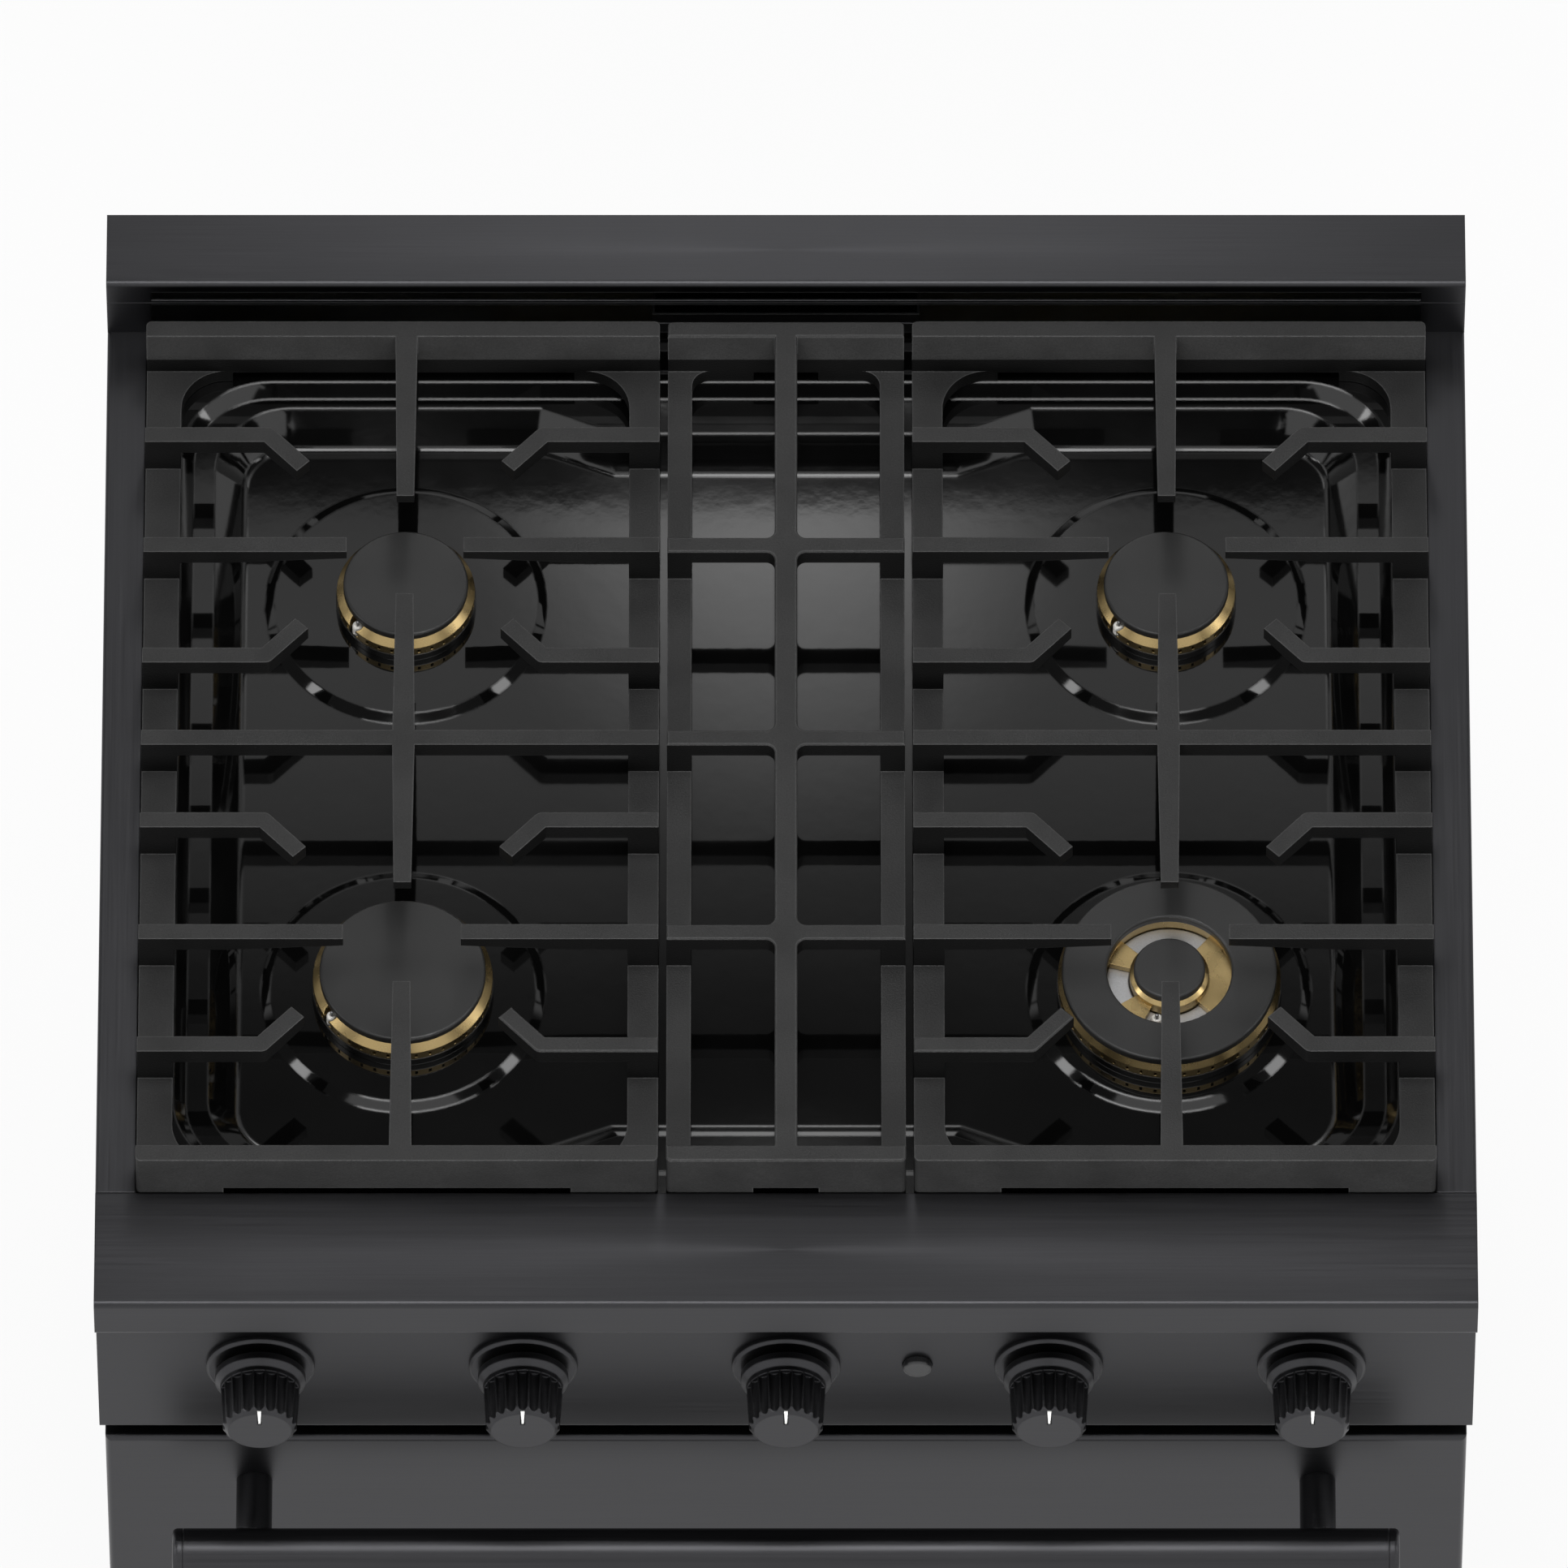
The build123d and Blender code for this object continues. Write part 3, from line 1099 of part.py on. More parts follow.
for name in KNOB_NAMES:
    x = KNOB_X[name]
    with BuildPart() as stem:
        rod((x, STEM_FRONT_Y, KNOB_Z), (x, STEM_REAR_Y, KNOB_Z), STEM_RADIUS)
        span(
            (x - STEM_RADIUS, x + STEM_RADIUS),
            (STEM_FRONT_Y, KNOB_BACK_Y + SEAM),
            (KNOB_Z - STEM_RADIUS, KNOB_Z - STEM_RADIUS + STEM_FLAT),
            mode=Mode.SUBTRACT,
        )
    with BuildPart() as knob:
        with BuildSketch(Plane((x, 0, KNOB_Z))):
            with BuildLine():
                Polyline(
                    (0, KNOB_BACK_Y),
                    (KNOB_SKIRT_RADIUS, KNOB_BACK_Y),
                    (KNOB_SKIRT_RADIUS, KNOB_SIDE_Y + EDGE_RADIUS),
                    (KNOB_GRIP_RADIUS + SHEET, KNOB_SIDE_Y),
                    (KNOB_GRIP_RADIUS, KNOB_FRONT_Y + EDGE_RADIUS),
                    (KNOB_GRIP_RADIUS - EDGE_RADIUS, KNOB_FRONT_Y),
                    (0, KNOB_FRONT_Y),
                    close=True,
                )
            make_face()
        revolve(axis=Axis((x, 0, KNOB_Z), (0, 1, 0)))
        grip_length = KNOB_SIDE_Y - KNOB_FRONT_Y - EDGE_RADIUS
        with Locations(Plane((x, KNOB_SIDE_Y - EDGE_RADIUS, KNOB_Z), x_dir=(1, 0, 0), z_dir=(0, -1, 0))):
            with PolarLocations(KNOB_GRIP_RADIUS + KNOB_FLUTE_RADIUS, KNOB_FLUTES):
                Cylinder(
                    2 * KNOB_FLUTE_RADIUS,
                    grip_length,
                    align=(Align.CENTER, Align.CENTER, Align.MIN),
                    mode=Mode.SUBTRACT,
                )
        span(
            (x - POINTER_WIDTH / 2, x + POINTER_WIDTH / 2),
            (KNOB_FRONT_Y, KNOB_FRONT_Y + POINTER_DEPTH),
            (KNOB_Z + KNOB_GRIP_RADIUS / 3, KNOB_Z + KNOB_GRIP_RADIUS),
            mode=Mode.SUBTRACT,
        )
        with BuildSketch(Plane((x, KNOB_BACK_Y, KNOB_Z), x_dir=(1, 0, 0), z_dir=(0, -1, 0))):
            Circle(STEM_RADIUS + SHAFT_FIT)
            with Locations((0, STEM_FLAT / 2 - STEM_RADIUS - SHAFT_FIT)):
                Rectangle(2 * STEM_RADIUS + SEAM, STEM_FLAT, mode=Mode.SUBTRACT)
        extrude(amount=KNOB_BORE_DEPTH, mode=Mode.SUBTRACT)
        add(stem.part)
    save(knob, f"knob_{name}")
    with BuildPart() as collar:
        rod((x, COLLAR_FRONT_Y, KNOB_Z), (x, COLLAR_FRONT_Y + COLLAR_LENGTH, KNOB_Z), COLLAR_RADIUS)
        rod(
            (x, COLLAR_FRONT_Y, KNOB_Z),
            (x, COLLAR_FRONT_Y + COLLAR_LENGTH, KNOB_Z),
            STEM_RADIUS + SHAFT_FIT,
            mode=Mode.SUBTRACT,
        )
    save(collar, f"push_collar_{name}")

BUTTON_FRONT_Y = PANEL_FRONT_Y - BUTTON_PROUD
BUTTON_BACK_Y = BUTTON_FRONT_Y + BUTTON_LENGTH
BUTTON_END_Y = BUTTON_BACK_Y + BUTTON_STEM_LENGTH

with BuildPart() as light_button:
    rod((BUTTON_X, BUTTON_FRONT_Y, KNOB_Z), (BUTTON_X, BUTTON_BACK_Y, KNOB_Z), BUTTON_RADIUS)
    fillet(light_button.edges().group_by(Axis.Y)[0], radius=SHEET)
    rod((BUTTON_X, BUTTON_BACK_Y, KNOB_Z), (BUTTON_X, BUTTON_END_Y, KNOB_Z), BUTTON_STEM_RADIUS)
save(light_button, "light_button")

with BuildPart() as light_switch:
    span(
        (BUTTON_X - SWITCH_SIZE / 2, BUTTON_X + SWITCH_SIZE / 2),
        (PANEL_FRONT_Y + SHEET, PANEL_FRONT_Y + SHEET + SWITCH_DEPTH),
        (KNOB_Z - SWITCH_SIZE / 2, KNOB_Z + SWITCH_SIZE / 2),
    )
    fillet(light_switch.edges().filter_by(Axis.Y), radius=EDGE_RADIUS)
    rod(
        (BUTTON_X, PANEL_FRONT_Y, KNOB_Z),
        (BUTTON_X, BUTTON_BACK_Y + BUTTON_TRAVEL + SEAM, KNOB_Z),
        BUTTON_RADIUS + FIT,
        mode=Mode.SUBTRACT,
    )
    rod(
        (BUTTON_X, PANEL_FRONT_Y, KNOB_Z),
        (BUTTON_X, BUTTON_END_Y + BUTTON_TRAVEL + SEAM, KNOB_Z),
        BUTTON_STEM_RADIUS + FIT,
        mode=Mode.SUBTRACT,
    )
save(light_switch, "light_switch")

# Oven: liner with its face flange, insulation, gasket, floor, burners, flue, lamp and rack ladders
FACE_FLANGE_X = WIDTH / 2 - SHEET - SHEET - FACE_FLANGE_SIDE
FACE_FLANGE_BASE_Z = DOOR_BASE_Z - FACE_FLANGE_SIDE
FACE_FLANGE_TOP_Z = PANEL_BASE_Z - FACE_FLANGE_LAP
liner_face = Plane((0, FACE_Y, CAVITY_MID_Z), x_dir=(1, 0, 0), z_dir=(0, 1, 0))
front_face = Plane((0, FACE_Y, CAVITY_MID_Z), x_dir=(1, 0, 0), z_dir=(0, -1, 0))

with BuildPart() as oven_liner:
    with BuildSketch(liner_face):
        RectangleRounded(CAVITY_WIDTH + 2 * SHEET, CAVITY_HEIGHT + 2 * SHEET, CAVITY_CORNER + SHEET)
    extrude(amount=CAVITY_DEPTH + SHEET)
    span((-FACE_FLANGE_X, FACE_FLANGE_X), (FACE_Y, FACE_Y + SHEET), (FACE_FLANGE_BASE_Z, FACE_FLANGE_TOP_Z))
    with BuildSketch(liner_face):
        RectangleRounded(CAVITY_WIDTH, CAVITY_HEIGHT, CAVITY_CORNER)
    extrude(amount=CAVITY_DEPTH, mode=Mode.SUBTRACT)
    span(
        (SHEET - FLUE_WIDTH / 2, FLUE_WIDTH / 2 - SHEET),
        (CAVITY_REAR_Y - SHEET, LINER_REAR_Y + SHEET),
        (FLUE_Z - FLUE_HEIGHT / 2 + SHEET, FLUE_Z + FLUE_HEIGHT / 2 - SHEET),
        mode=Mode.SUBTRACT,
    )
    for x, z, radius in (
        (LAMP_X, LAMP_Z, LAMP_BASE_RADIUS),
        (0, BAKE_Z, INLET_PIPE_RADIUS),
        (OVEN_TUBE_X, BROIL_Z, INLET_PIPE_RADIUS),
    ):
        rod((x, CAVITY_REAR_Y, z), (x, LINER_REAR_Y, z), radius + SEAM, mode=Mode.SUBTRACT)
save(oven_liner, "oven_liner")

with BuildPart() as oven_insulation:
    with BuildSketch(liner_face.offset(SHEET + SEAM)):
        RectangleRounded(
            CAVITY_WIDTH + 2 * SHEET + 2 * INSULATION,
            CAVITY_HEIGHT + 2 * SHEET + 2 * INSULATION,
            CAVITY_CORNER + SHEET + INSULATION,
        )
    extrude(amount=CAVITY_DEPTH + INSULATION - SEAM)
    with BuildSketch(liner_face):
        RectangleRounded(
            CAVITY_WIDTH + 2 * SHEET + 2 * FIT,
            CAVITY_HEIGHT + 2 * SHEET + 2 * FIT,
            CAVITY_CORNER + SHEET + FIT,
        )
    extrude(amount=CAVITY_DEPTH + SHEET + FIT, mode=Mode.SUBTRACT)
    span(
        (-FLUE_WIDTH / 2 - SEAM, FLUE_WIDTH / 2 + SEAM),
        (LINER_REAR_Y, INSULATION_REAR_Y + SEAM),
        (FLUE_Z - FLUE_HEIGHT / 2 - SEAM, FLUE_Z + FLUE_HEIGHT / 2 + SEAM),
        mode=Mode.SUBTRACT,
    )
    for x, z, radius in (
        (LAMP_X, LAMP_Z, LAMP_BASE_RADIUS),
        (0, BAKE_Z, INLET_PIPE_RADIUS),
        (OVEN_TUBE_X, BROIL_Z, INLET_PIPE_RADIUS),
    ):
        rod((x, LINER_REAR_Y, z), (x, INSULATION_REAR_Y, z), radius + SEAM, mode=Mode.SUBTRACT)
save(oven_insulation, "oven_insulation")

GASKET_INNER = (CAVITY_WIDTH + 2 * GASKET_OFFSET, CAVITY_HEIGHT + 2 * GASKET_OFFSET)

with BuildPart() as door_gasket:
    with BuildSketch(front_face):
        RectangleRounded(
            GASKET_INNER[0] + 2 * GASKET_WIDTH,
            GASKET_INNER[1] + 2 * GASKET_WIDTH,
            CAVITY_CORNER + GASKET_OFFSET + GASKET_WIDTH,
        )
        RectangleRounded(*GASKET_INNER, CAVITY_CORNER + GASKET_OFFSET, mode=Mode.SUBTRACT)
    extrude(amount=GASKET_GAP - FIT)
    fillet(door_gasket.faces().sort_by(Axis.Y)[0].edges(), radius=SHEET)
save(door_gasket, "door_gasket")

OVEN_FLOOR_X = CAVITY_WIDTH / 2 - CAVITY_CORNER - SEAM
OVEN_FLOOR_Z = CAVITY_BASE_Z + OVEN_FLOOR_HEIGHT

with BuildPart() as oven_floor:
    span(
        (-OVEN_FLOOR_X, OVEN_FLOOR_X),
        (FACE_Y + OVEN_FLOOR_FRONT_GAP, CAVITY_REAR_Y - SEAM),
        (CAVITY_BASE_Z, OVEN_FLOOR_Z),
    )
    span(
        (SHEET - OVEN_FLOOR_X, OVEN_FLOOR_X - SHEET),
        (FACE_Y, CAVITY_REAR_Y),
        (CAVITY_BASE_Z - SHEET, OVEN_FLOOR_Z - SHEET),
        mode=Mode.SUBTRACT,
    )
    with BuildSketch(Plane.XY.offset(OVEN_FLOOR_Z)):
        with Locations((0, (FACE_Y + CAVITY_REAR_Y) / 2)):
            with GridLocations(OVEN_FLOOR_X, CAVITY_DEPTH / (OVEN_FLOOR_SLOTS + 1), 2, OVEN_FLOOR_SLOTS):
                SlotOverall(*OVEN_FLOOR_SLOT)
    extrude(amount=-SHEET, mode=Mode.SUBTRACT)
save(oven_floor, "oven_floor")

BAKE_FRONT_Y = FACE_Y + BAKE_FRONT_GAP
BAKE_REAR_Y = CAVITY_REAR_Y - BAKE_FOOT

with BuildPart() as bake_burner:
    rod((0, BAKE_FRONT_Y, BAKE_Z), (0, BAKE_REAR_Y, BAKE_Z), BAKE_RADIUS)
    fillet(bake_burner.edges().filter_by(GeomType.CIRCLE), radius=EDGE_RADIUS)
    rod((0, BAKE_REAR_Y, BAKE_Z), (0, INLET_PIPE_Y, BAKE_Z), INLET_PIPE_RADIUS)
    for y in (BAKE_FRONT_Y + BAKE_FOOT, BAKE_REAR_Y - BAKE_FOOT):
        span((-BAKE_FOOT / 2, BAKE_FOOT / 2), (y - EDGE_RADIUS, y + EDGE_RADIUS), (CAVITY_BASE_Z, BAKE_Z))
save(bake_burner, "bake_burner")

BROIL_Y = (FACE_Y + CAVITY_REAR_Y) / 2

with BuildPart() as broil_burner:
    with Locations((0, BROIL_Y, BROIL_Z)):
        Box(BROIL_WIDTH, BROIL_DEPTH, BROIL_HEIGHT)
    fillet(broil_burner.edges().filter_by(Axis.Z), radius=BROIL_DROP)
    rod(
        (OVEN_TUBE_X, BROIL_Y, BROIL_Z),
        (OVEN_TUBE_X, INLET_PIPE_Y, BROIL_Z),
        INLET_PIPE_RADIUS - FIT,
    )
    hanger_x = BROIL_WIDTH / 2 - 2 * BROIL_DROP
    hanger_y = BROIL_DEPTH / 2 - 2 * BROIL_DROP
    for x in (-hanger_x, hanger_x):
        for y in (BROIL_Y - hanger_y, BROIL_Y + hanger_y):
            rod((x, y, BROIL_Z), (x, y, CAVITY_TOP_Z), BROIL_HANGER)
save(broil_burner, "broil_burner")

FLUE_REAR_Y = BACK_INNER_Y - FLUE_REAR_GAP
FLUE_TOP_Z = COOKTOP_HEIGHT + FLUE_RISE


def flue_corners(wall):
    """The side outline of the elbow duct, drawn in by its wall and carried past both ends for the inside."""
    past = SHEET if wall else 0
    return [
        (LINER_REAR_Y - past, FLUE_Z - FLUE_HEIGHT / 2 + wall),
        (FLUE_REAR_Y - wall, FLUE_Z - FLUE_HEIGHT / 2 + wall),
        (FLUE_REAR_Y - wall, FLUE_TOP_Z + past),
        (FLUE_REAR_Y - FLUE_DEPTH + wall, FLUE_TOP_Z + past),
        (FLUE_REAR_Y - FLUE_DEPTH + wall, FLUE_Z + FLUE_HEIGHT / 2 - wall),
        (LINER_REAR_Y - past, FLUE_Z + FLUE_HEIGHT / 2 - wall),
    ]


with BuildPart() as flue_duct:
    with BuildSketch(Plane.YZ):
        Polygon(*flue_corners(0), align=None)
    extrude(amount=FLUE_WIDTH / 2, both=True)
    with BuildSketch(Plane.YZ):
        Polygon(*flue_corners(SHEET), align=None)
    extrude(amount=FLUE_WIDTH / 2 - SHEET, both=True, mode=Mode.SUBTRACT)
save(flue_duct, "flue_duct")

with BuildPart() as oven_lamp:
    with BuildSketch(Plane((LAMP_X, 0, LAMP_Z))):
        with BuildLine():
            ThreePointArc(
                (0, CAVITY_REAR_Y - LAMP_LENS_DEPTH),
                (LAMP_LENS_RADIUS * LAMP_LENS_BULGE, CAVITY_REAR_Y - LAMP_LENS_DEPTH * LAMP_LENS_BULGE),
                (LAMP_LENS_RADIUS, CAVITY_REAR_Y - SHEET),
            )
            Polyline(
                (LAMP_LENS_RADIUS, CAVITY_REAR_Y - SHEET),
                (LAMP_LENS_RADIUS, CAVITY_REAR_Y),
                (LAMP_BASE_RADIUS, CAVITY_REAR_Y),
                (LAMP_BASE_RADIUS, INSULATION_REAR_Y),
                (0, INSULATION_REAR_Y),
                (0, CAVITY_REAR_Y - LAMP_LENS_DEPTH),
            )
        make_face()
    revolve(axis=Axis((LAMP_X, 0, LAMP_Z), (0, 1, 0)))
save(oven_lamp, "oven_lamp")

LADDER_RAIL_X = LADDER_X - 2 * WIRE + SEAM
LADDER_FRONT_Y = FACE_Y + LADDER_END_GAP
LADDER_REAR_Y = CAVITY_REAR_Y - LADDER_END_GAP
LADDER_ZS = [CAVITY_BASE_Z + LADDER_FIRST + step * LADDER_PITCH for step in range(LADDER_STEPS)]
LADDER_BASE_Z = LADDER_ZS[0] - LADDER_END
LADDER_TOP_Z = LADDER_ZS[-1] + LADDER_END

with BuildPart() as rack_guides:
    for y in (LADDER_FRONT_Y + LADDER_END, (LADDER_FRONT_Y + LADDER_REAR_Y) / 2, LADDER_REAR_Y - LADDER_END):
        rod((LADDER_X, y, LADDER_BASE_Z), (LADDER_X, y, LADDER_TOP_Z), WIRE)
        for z in (LADDER_BASE_Z + WIRE, LADDER_TOP_Z - WIRE):
            rod((LADDER_X, y, z), (CAVITY_WIDTH / 2, y, z), WIRE)
    for z in LADDER_ZS:
        rod((LADDER_RAIL_X, LADDER_FRONT_Y, z), (LADDER_RAIL_X, LADDER_REAR_Y, z), WIRE)
    mirror(about=Plane.YZ)
save(rack_guides, "rack_guides")

RACK_FRONT_Y = FACE_Y + RACK_FRONT_GAP
RACK_REAR_Y = CAVITY_REAR_Y - RACK_REAR_GAP
RACK_WIRE_PITCH = 2 * RACK_ROD_X / (RACK_WIRES + 1)
RACK_MID_Y = (RACK_FRONT_Y + RACK_REAR_Y) / 2
RACK_STOP_X = RACK_ROD_X - 1.5 * RACK_WIRE_PITCH
RACK_STOP_Y = RACK_REAR_Y + RACK_ROD + RACK_WIRE + FIT


def rack_frame(height):
    """The rack's outer rod, bent into a rounded rectangle."""
    with BuildSketch(Plane.XY.offset(height)) as outline:
        with Locations((0, RACK_MID_Y)):
            RectangleRounded(2 * RACK_ROD_X, RACK_REAR_Y - RACK_FRONT_Y, RACK_CORNER)
    path = outline.sketch.faces()[0].outer_wire()
    with BuildPart() as frame:
        with BuildSketch(Plane(path @ 0, z_dir=path % 0)):
            Circle(RACK_ROD)
        sweep(path=path)
    return frame.part


for name, step in (("rack_lower", LOWER_RACK_STEP), ("rack_upper", UPPER_RACK_STEP)):
    rack_z = LADDER_ZS[step] + WIRE + RACK_ROD + FIT
    outer_rod = rack_frame(rack_z)
    with BuildPart() as rack:
        add(outer_rod)
        for index in range(RACK_WIRES):
            wire_x = (index + 1) * RACK_WIRE_PITCH - RACK_ROD_X
            rod((wire_x, RACK_FRONT_Y, rack_z), (wire_x, RACK_REAR_Y, rack_z), RACK_WIRE)
        tie_x = RACK_ROD_X - RACK_ROD + RACK_TIE_BITE
        for share in (1 / 3, 2 / 3):
            tie_y = RACK_FRONT_Y + share * (RACK_REAR_Y - RACK_FRONT_Y)
            rod((-tie_x, tie_y, rack_z - WIRE), (tie_x, tie_y, rack_z - WIRE), WIRE)
        for x in (-RACK_STOP_X, RACK_STOP_X):
            rod((x, RACK_STOP_Y, rack_z - RACK_ROD), (x, RACK_STOP_Y, rack_z + RACK_STOP), RACK_WIRE)
        rod(
            (-RACK_STOP_X - 2 * WIRE, RACK_STOP_Y, rack_z + RACK_STOP),
            (RACK_STOP_X + 2 * WIRE, RACK_STOP_Y, rack_z + RACK_STOP),
            WIRE,
        )
    save(rack, name)

# Door: outer skin, inner liner, two panes, insulation, handle and hinges
door_plane = Plane((0, DOOR_FRONT_Y, WINDOW_Z), x_dir=(1, 0, 0), z_dir=(0, -1, 0))

with BuildPart() as door_skin:
    span((-DOOR_HALF_X, DOOR_HALF_X), (DOOR_FRONT_Y, DOOR_REAR_Y), (DOOR_BASE_Z, DOOR_TOP_Z))
    fillet(door_skin.faces().sort_by(Axis.Y)[0].edges(), radius=EDGE_RADIUS)
    offset(amount=-SHEET, openings=door_skin.faces().sort_by(Axis.Y)[-1])
    with BuildSketch(door_plane):
        RectangleRounded(WINDOW_WIDTH, WINDOW_HEIGHT, WINDOW_RADIUS)
    extrude(amount=-SHEET, mode=Mode.SUBTRACT)
    for side in (-1, 1):
        span(
            (side * HINGE_X - HINGE_NOTCH / 2, side * HINGE_X + HINGE_NOTCH / 2),
            (DOOR_FRONT_Y + SHEET, DOOR_REAR_Y + SEAM),
            (DOOR_BASE_Z - SEAM, HINGE_Z),
            mode=Mode.SUBTRACT,
        )
save(door_skin, "door_skin")

LINER_INSET = SHEET + SEAM
LINER_FRONT_Y = DOOR_REAR_Y - SHEET

with BuildPart() as door_liner:
    span(
        (LINER_INSET - DOOR_HALF_X, DOOR_HALF_X - LINER_INSET),
        (LINER_FRONT_Y, DOOR_REAR_Y),
        (DOOR_BASE_Z + LINER_INSET, DOOR_TOP_Z - LINER_INSET),
    )
    with BuildSketch(door_plane.offset(DOOR_FRONT_Y - DOOR_REAR_Y)):
        RectangleRounded(WINDOW_WIDTH, WINDOW_HEIGHT, WINDOW_RADIUS)
    extrude(amount=SHEET, mode=Mode.SUBTRACT)
    for side in (-1, 1):
        span(
            (side * HINGE_X - HINGE_NOTCH / 2, side * HINGE_X + HINGE_NOTCH / 2),
            (LINER_FRONT_Y - SEAM, DOOR_REAR_Y + SEAM),
            (DOOR_BASE_Z, HINGE_Z + 2 * HINGE_HUB_RADIUS),
            mode=Mode.SUBTRACT,
        )
save(door_liner, "door_liner")

with BuildPart() as door_glass:
    for depth in (SHEET, LINER_FRONT_Y - GLASS_THICKNESS - DOOR_FRONT_Y):
        with BuildSketch(door_plane.offset(-depth)):
            RectangleRounded(WINDOW_WIDTH + 2 * GLASS_LAP, WINDOW_HEIGHT + 2 * GLASS_LAP, WINDOW_RADIUS)
        extrude(amount=-GLASS_THICKNESS)
save(door_glass, "door_glass")

with BuildPart() as door_insulation:
    span(
        (HINGE_NOTCH / 2 + SEAM - HINGE_X, HINGE_X - HINGE_NOTCH / 2 - SEAM),
        (DOOR_FRONT_Y + SHEET + GLASS_THICKNESS + SEAM, LINER_FRONT_Y - GLASS_THICKNESS - SEAM),
        (DOOR_BASE_Z + LINER_INSET, DOOR_TOP_Z - LINER_INSET),
    )
    with BuildSketch(door_plane):
        RectangleRounded(WINDOW_WIDTH, WINDOW_HEIGHT, WINDOW_RADIUS)
    extrude(amount=-DOOR_THICKNESS, mode=Mode.SUBTRACT)
save(door_insulation, "door_insulation")

HANDLE_RADIUS = HANDLE_DIAMETER / 2
HANDLE_BORE = HANDLE_RADIUS - HANDLE_WALL
HANDLE_TUBE_X = HANDLE_LENGTH / 2 - HANDLE_PLUG
POST_X = HANDLE_LENGTH / 2 - HANDLE_POST_INSET

with BuildPart() as handle_posts:
    for x in (-POST_X, POST_X):
        rod((x, DOOR_FRONT_Y, HANDLE_Z), (x, HANDLE_Y, HANDLE_Z), HANDLE_POST_DIAMETER / 2)
    rod(
        (-HANDLE_LENGTH, HANDLE_Y, HANDLE_Z),
        (HANDLE_LENGTH, HANDLE_Y, HANDLE_Z),
        HANDLE_RADIUS + SHAFT_FIT,
        mode=Mode.SUBTRACT,
    )

with BuildPart() as handle_plugs:
    rod((HANDLE_TUBE_X + FIT, HANDLE_Y, HANDLE_Z), (HANDLE_LENGTH / 2, HANDLE_Y, HANDLE_Z), HANDLE_RADIUS)
    fillet(handle_plugs.edges().sort_by(Axis.X)[-1], radius=EDGE_RADIUS)
    rod(
        (HANDLE_TUBE_X - HANDLE_SPIGOT, HANDLE_Y, HANDLE_Z),
        (HANDLE_TUBE_X + FIT, HANDLE_Y, HANDLE_Z),
        HANDLE_BORE - FIT,
    )
    mirror(about=Plane.YZ)

with BuildPart() as door_handle:
    rod((-HANDLE_TUBE_X, HANDLE_Y, HANDLE_Z), (HANDLE_TUBE_X, HANDLE_Y, HANDLE_Z), HANDLE_RADIUS)
    rod(
        (-HANDLE_TUBE_X, HANDLE_Y, HANDLE_Z),
        (HANDLE_TUBE_X, HANDLE_Y, HANDLE_Z),
        HANDLE_BORE,
        mode=Mode.SUBTRACT,
    )
    add(handle_posts.part)
    add(handle_plugs.part)
save(door_handle, "door_handle")

EAR_X = HINGE_WEB / 2 + FIT

with BuildPart() as hinge_arms:
    for side in (-1, 1):
        for ear_x in (side * HINGE_X - EAR_X - HINGE_EAR, side * HINGE_X + EAR_X):
            with BuildSketch(Plane.YZ.offset(ear_x)):
                with Locations((HINGE_Y, HINGE_Z)):
                    Circle(HINGE_HUB_RADIUS)
                ear_y = (DOOR_FRONT_Y + SHEET, HINGE_Y + HINGE_HUB_RADIUS)
                with Locations((sum(ear_y) / 2, HINGE_Z + HINGE_EAR_HEIGHT / 2)):
                    Rectangle(ear_y[1] - ear_y[0], HINGE_EAR_HEIGHT)
                with Locations((HINGE_Y, HINGE_Z)):
                    Circle(HINGE_PIN_RADIUS + SHAFT_FIT, mode=Mode.SUBTRACT)
            extrude(amount=HINGE_EAR)
        span(
            (side * HINGE_X - EAR_X - HINGE_EAR, side * HINGE_X + EAR_X + HINGE_EAR),
            (DOOR_FRONT_Y + SHEET, DOOR_FRONT_Y + SHEET + EDGE_RADIUS),
            (HINGE_Z + 2 * HINGE_HUB_RADIUS, HINGE_Z + HINGE_EAR_HEIGHT),
        )
save(hinge_arms, "hinge_arms")

WEB_HALF = HINGE_HUB_RADIUS - SEAM

with BuildPart() as hinge_brackets:
    for side in (-1, 1):
        with BuildSketch(Plane.YZ.offset(side * HINGE_X - HINGE_WEB / 2)):
            with Locations((HINGE_Y, HINGE_Z)):
                Circle(HINGE_HUB_RADIUS)
            with Locations(((HINGE_Y + FACE_Y) / 2, HINGE_Z)):
                Rectangle(FACE_Y - HINGE_Y, 2 * WEB_HALF)
        extrude(amount=HINGE_WEB)
        span(
            (side * HINGE_X - HINGE_NOTCH / 2, side * HINGE_X + HINGE_NOTCH / 2),
            (FACE_Y - HINGE_PLATE, FACE_Y),
            (HINGE_Z - HINGE_INSET, HINGE_Z - HINGE_INSET + HINGE_PLATE_HEIGHT),
        )
        pin_x = EAR_X + HINGE_EAR
        rod(
            (side * HINGE_X - pin_x, HINGE_Y, HINGE_Z),
            (side * HINGE_X + pin_x, HINGE_Y, HINGE_Z),
            HINGE_PIN_RADIUS,
        )
save(hinge_brackets, "hinge_brackets")
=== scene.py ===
# %% [markdown]
# A freestanding gas range in black stainless steel, seen from high in front, where its cooktop fills the
# picture. The engineered solids come in first, each at its own place. All sizes are in metres.

import json
from math import cos, pi, radians, sin

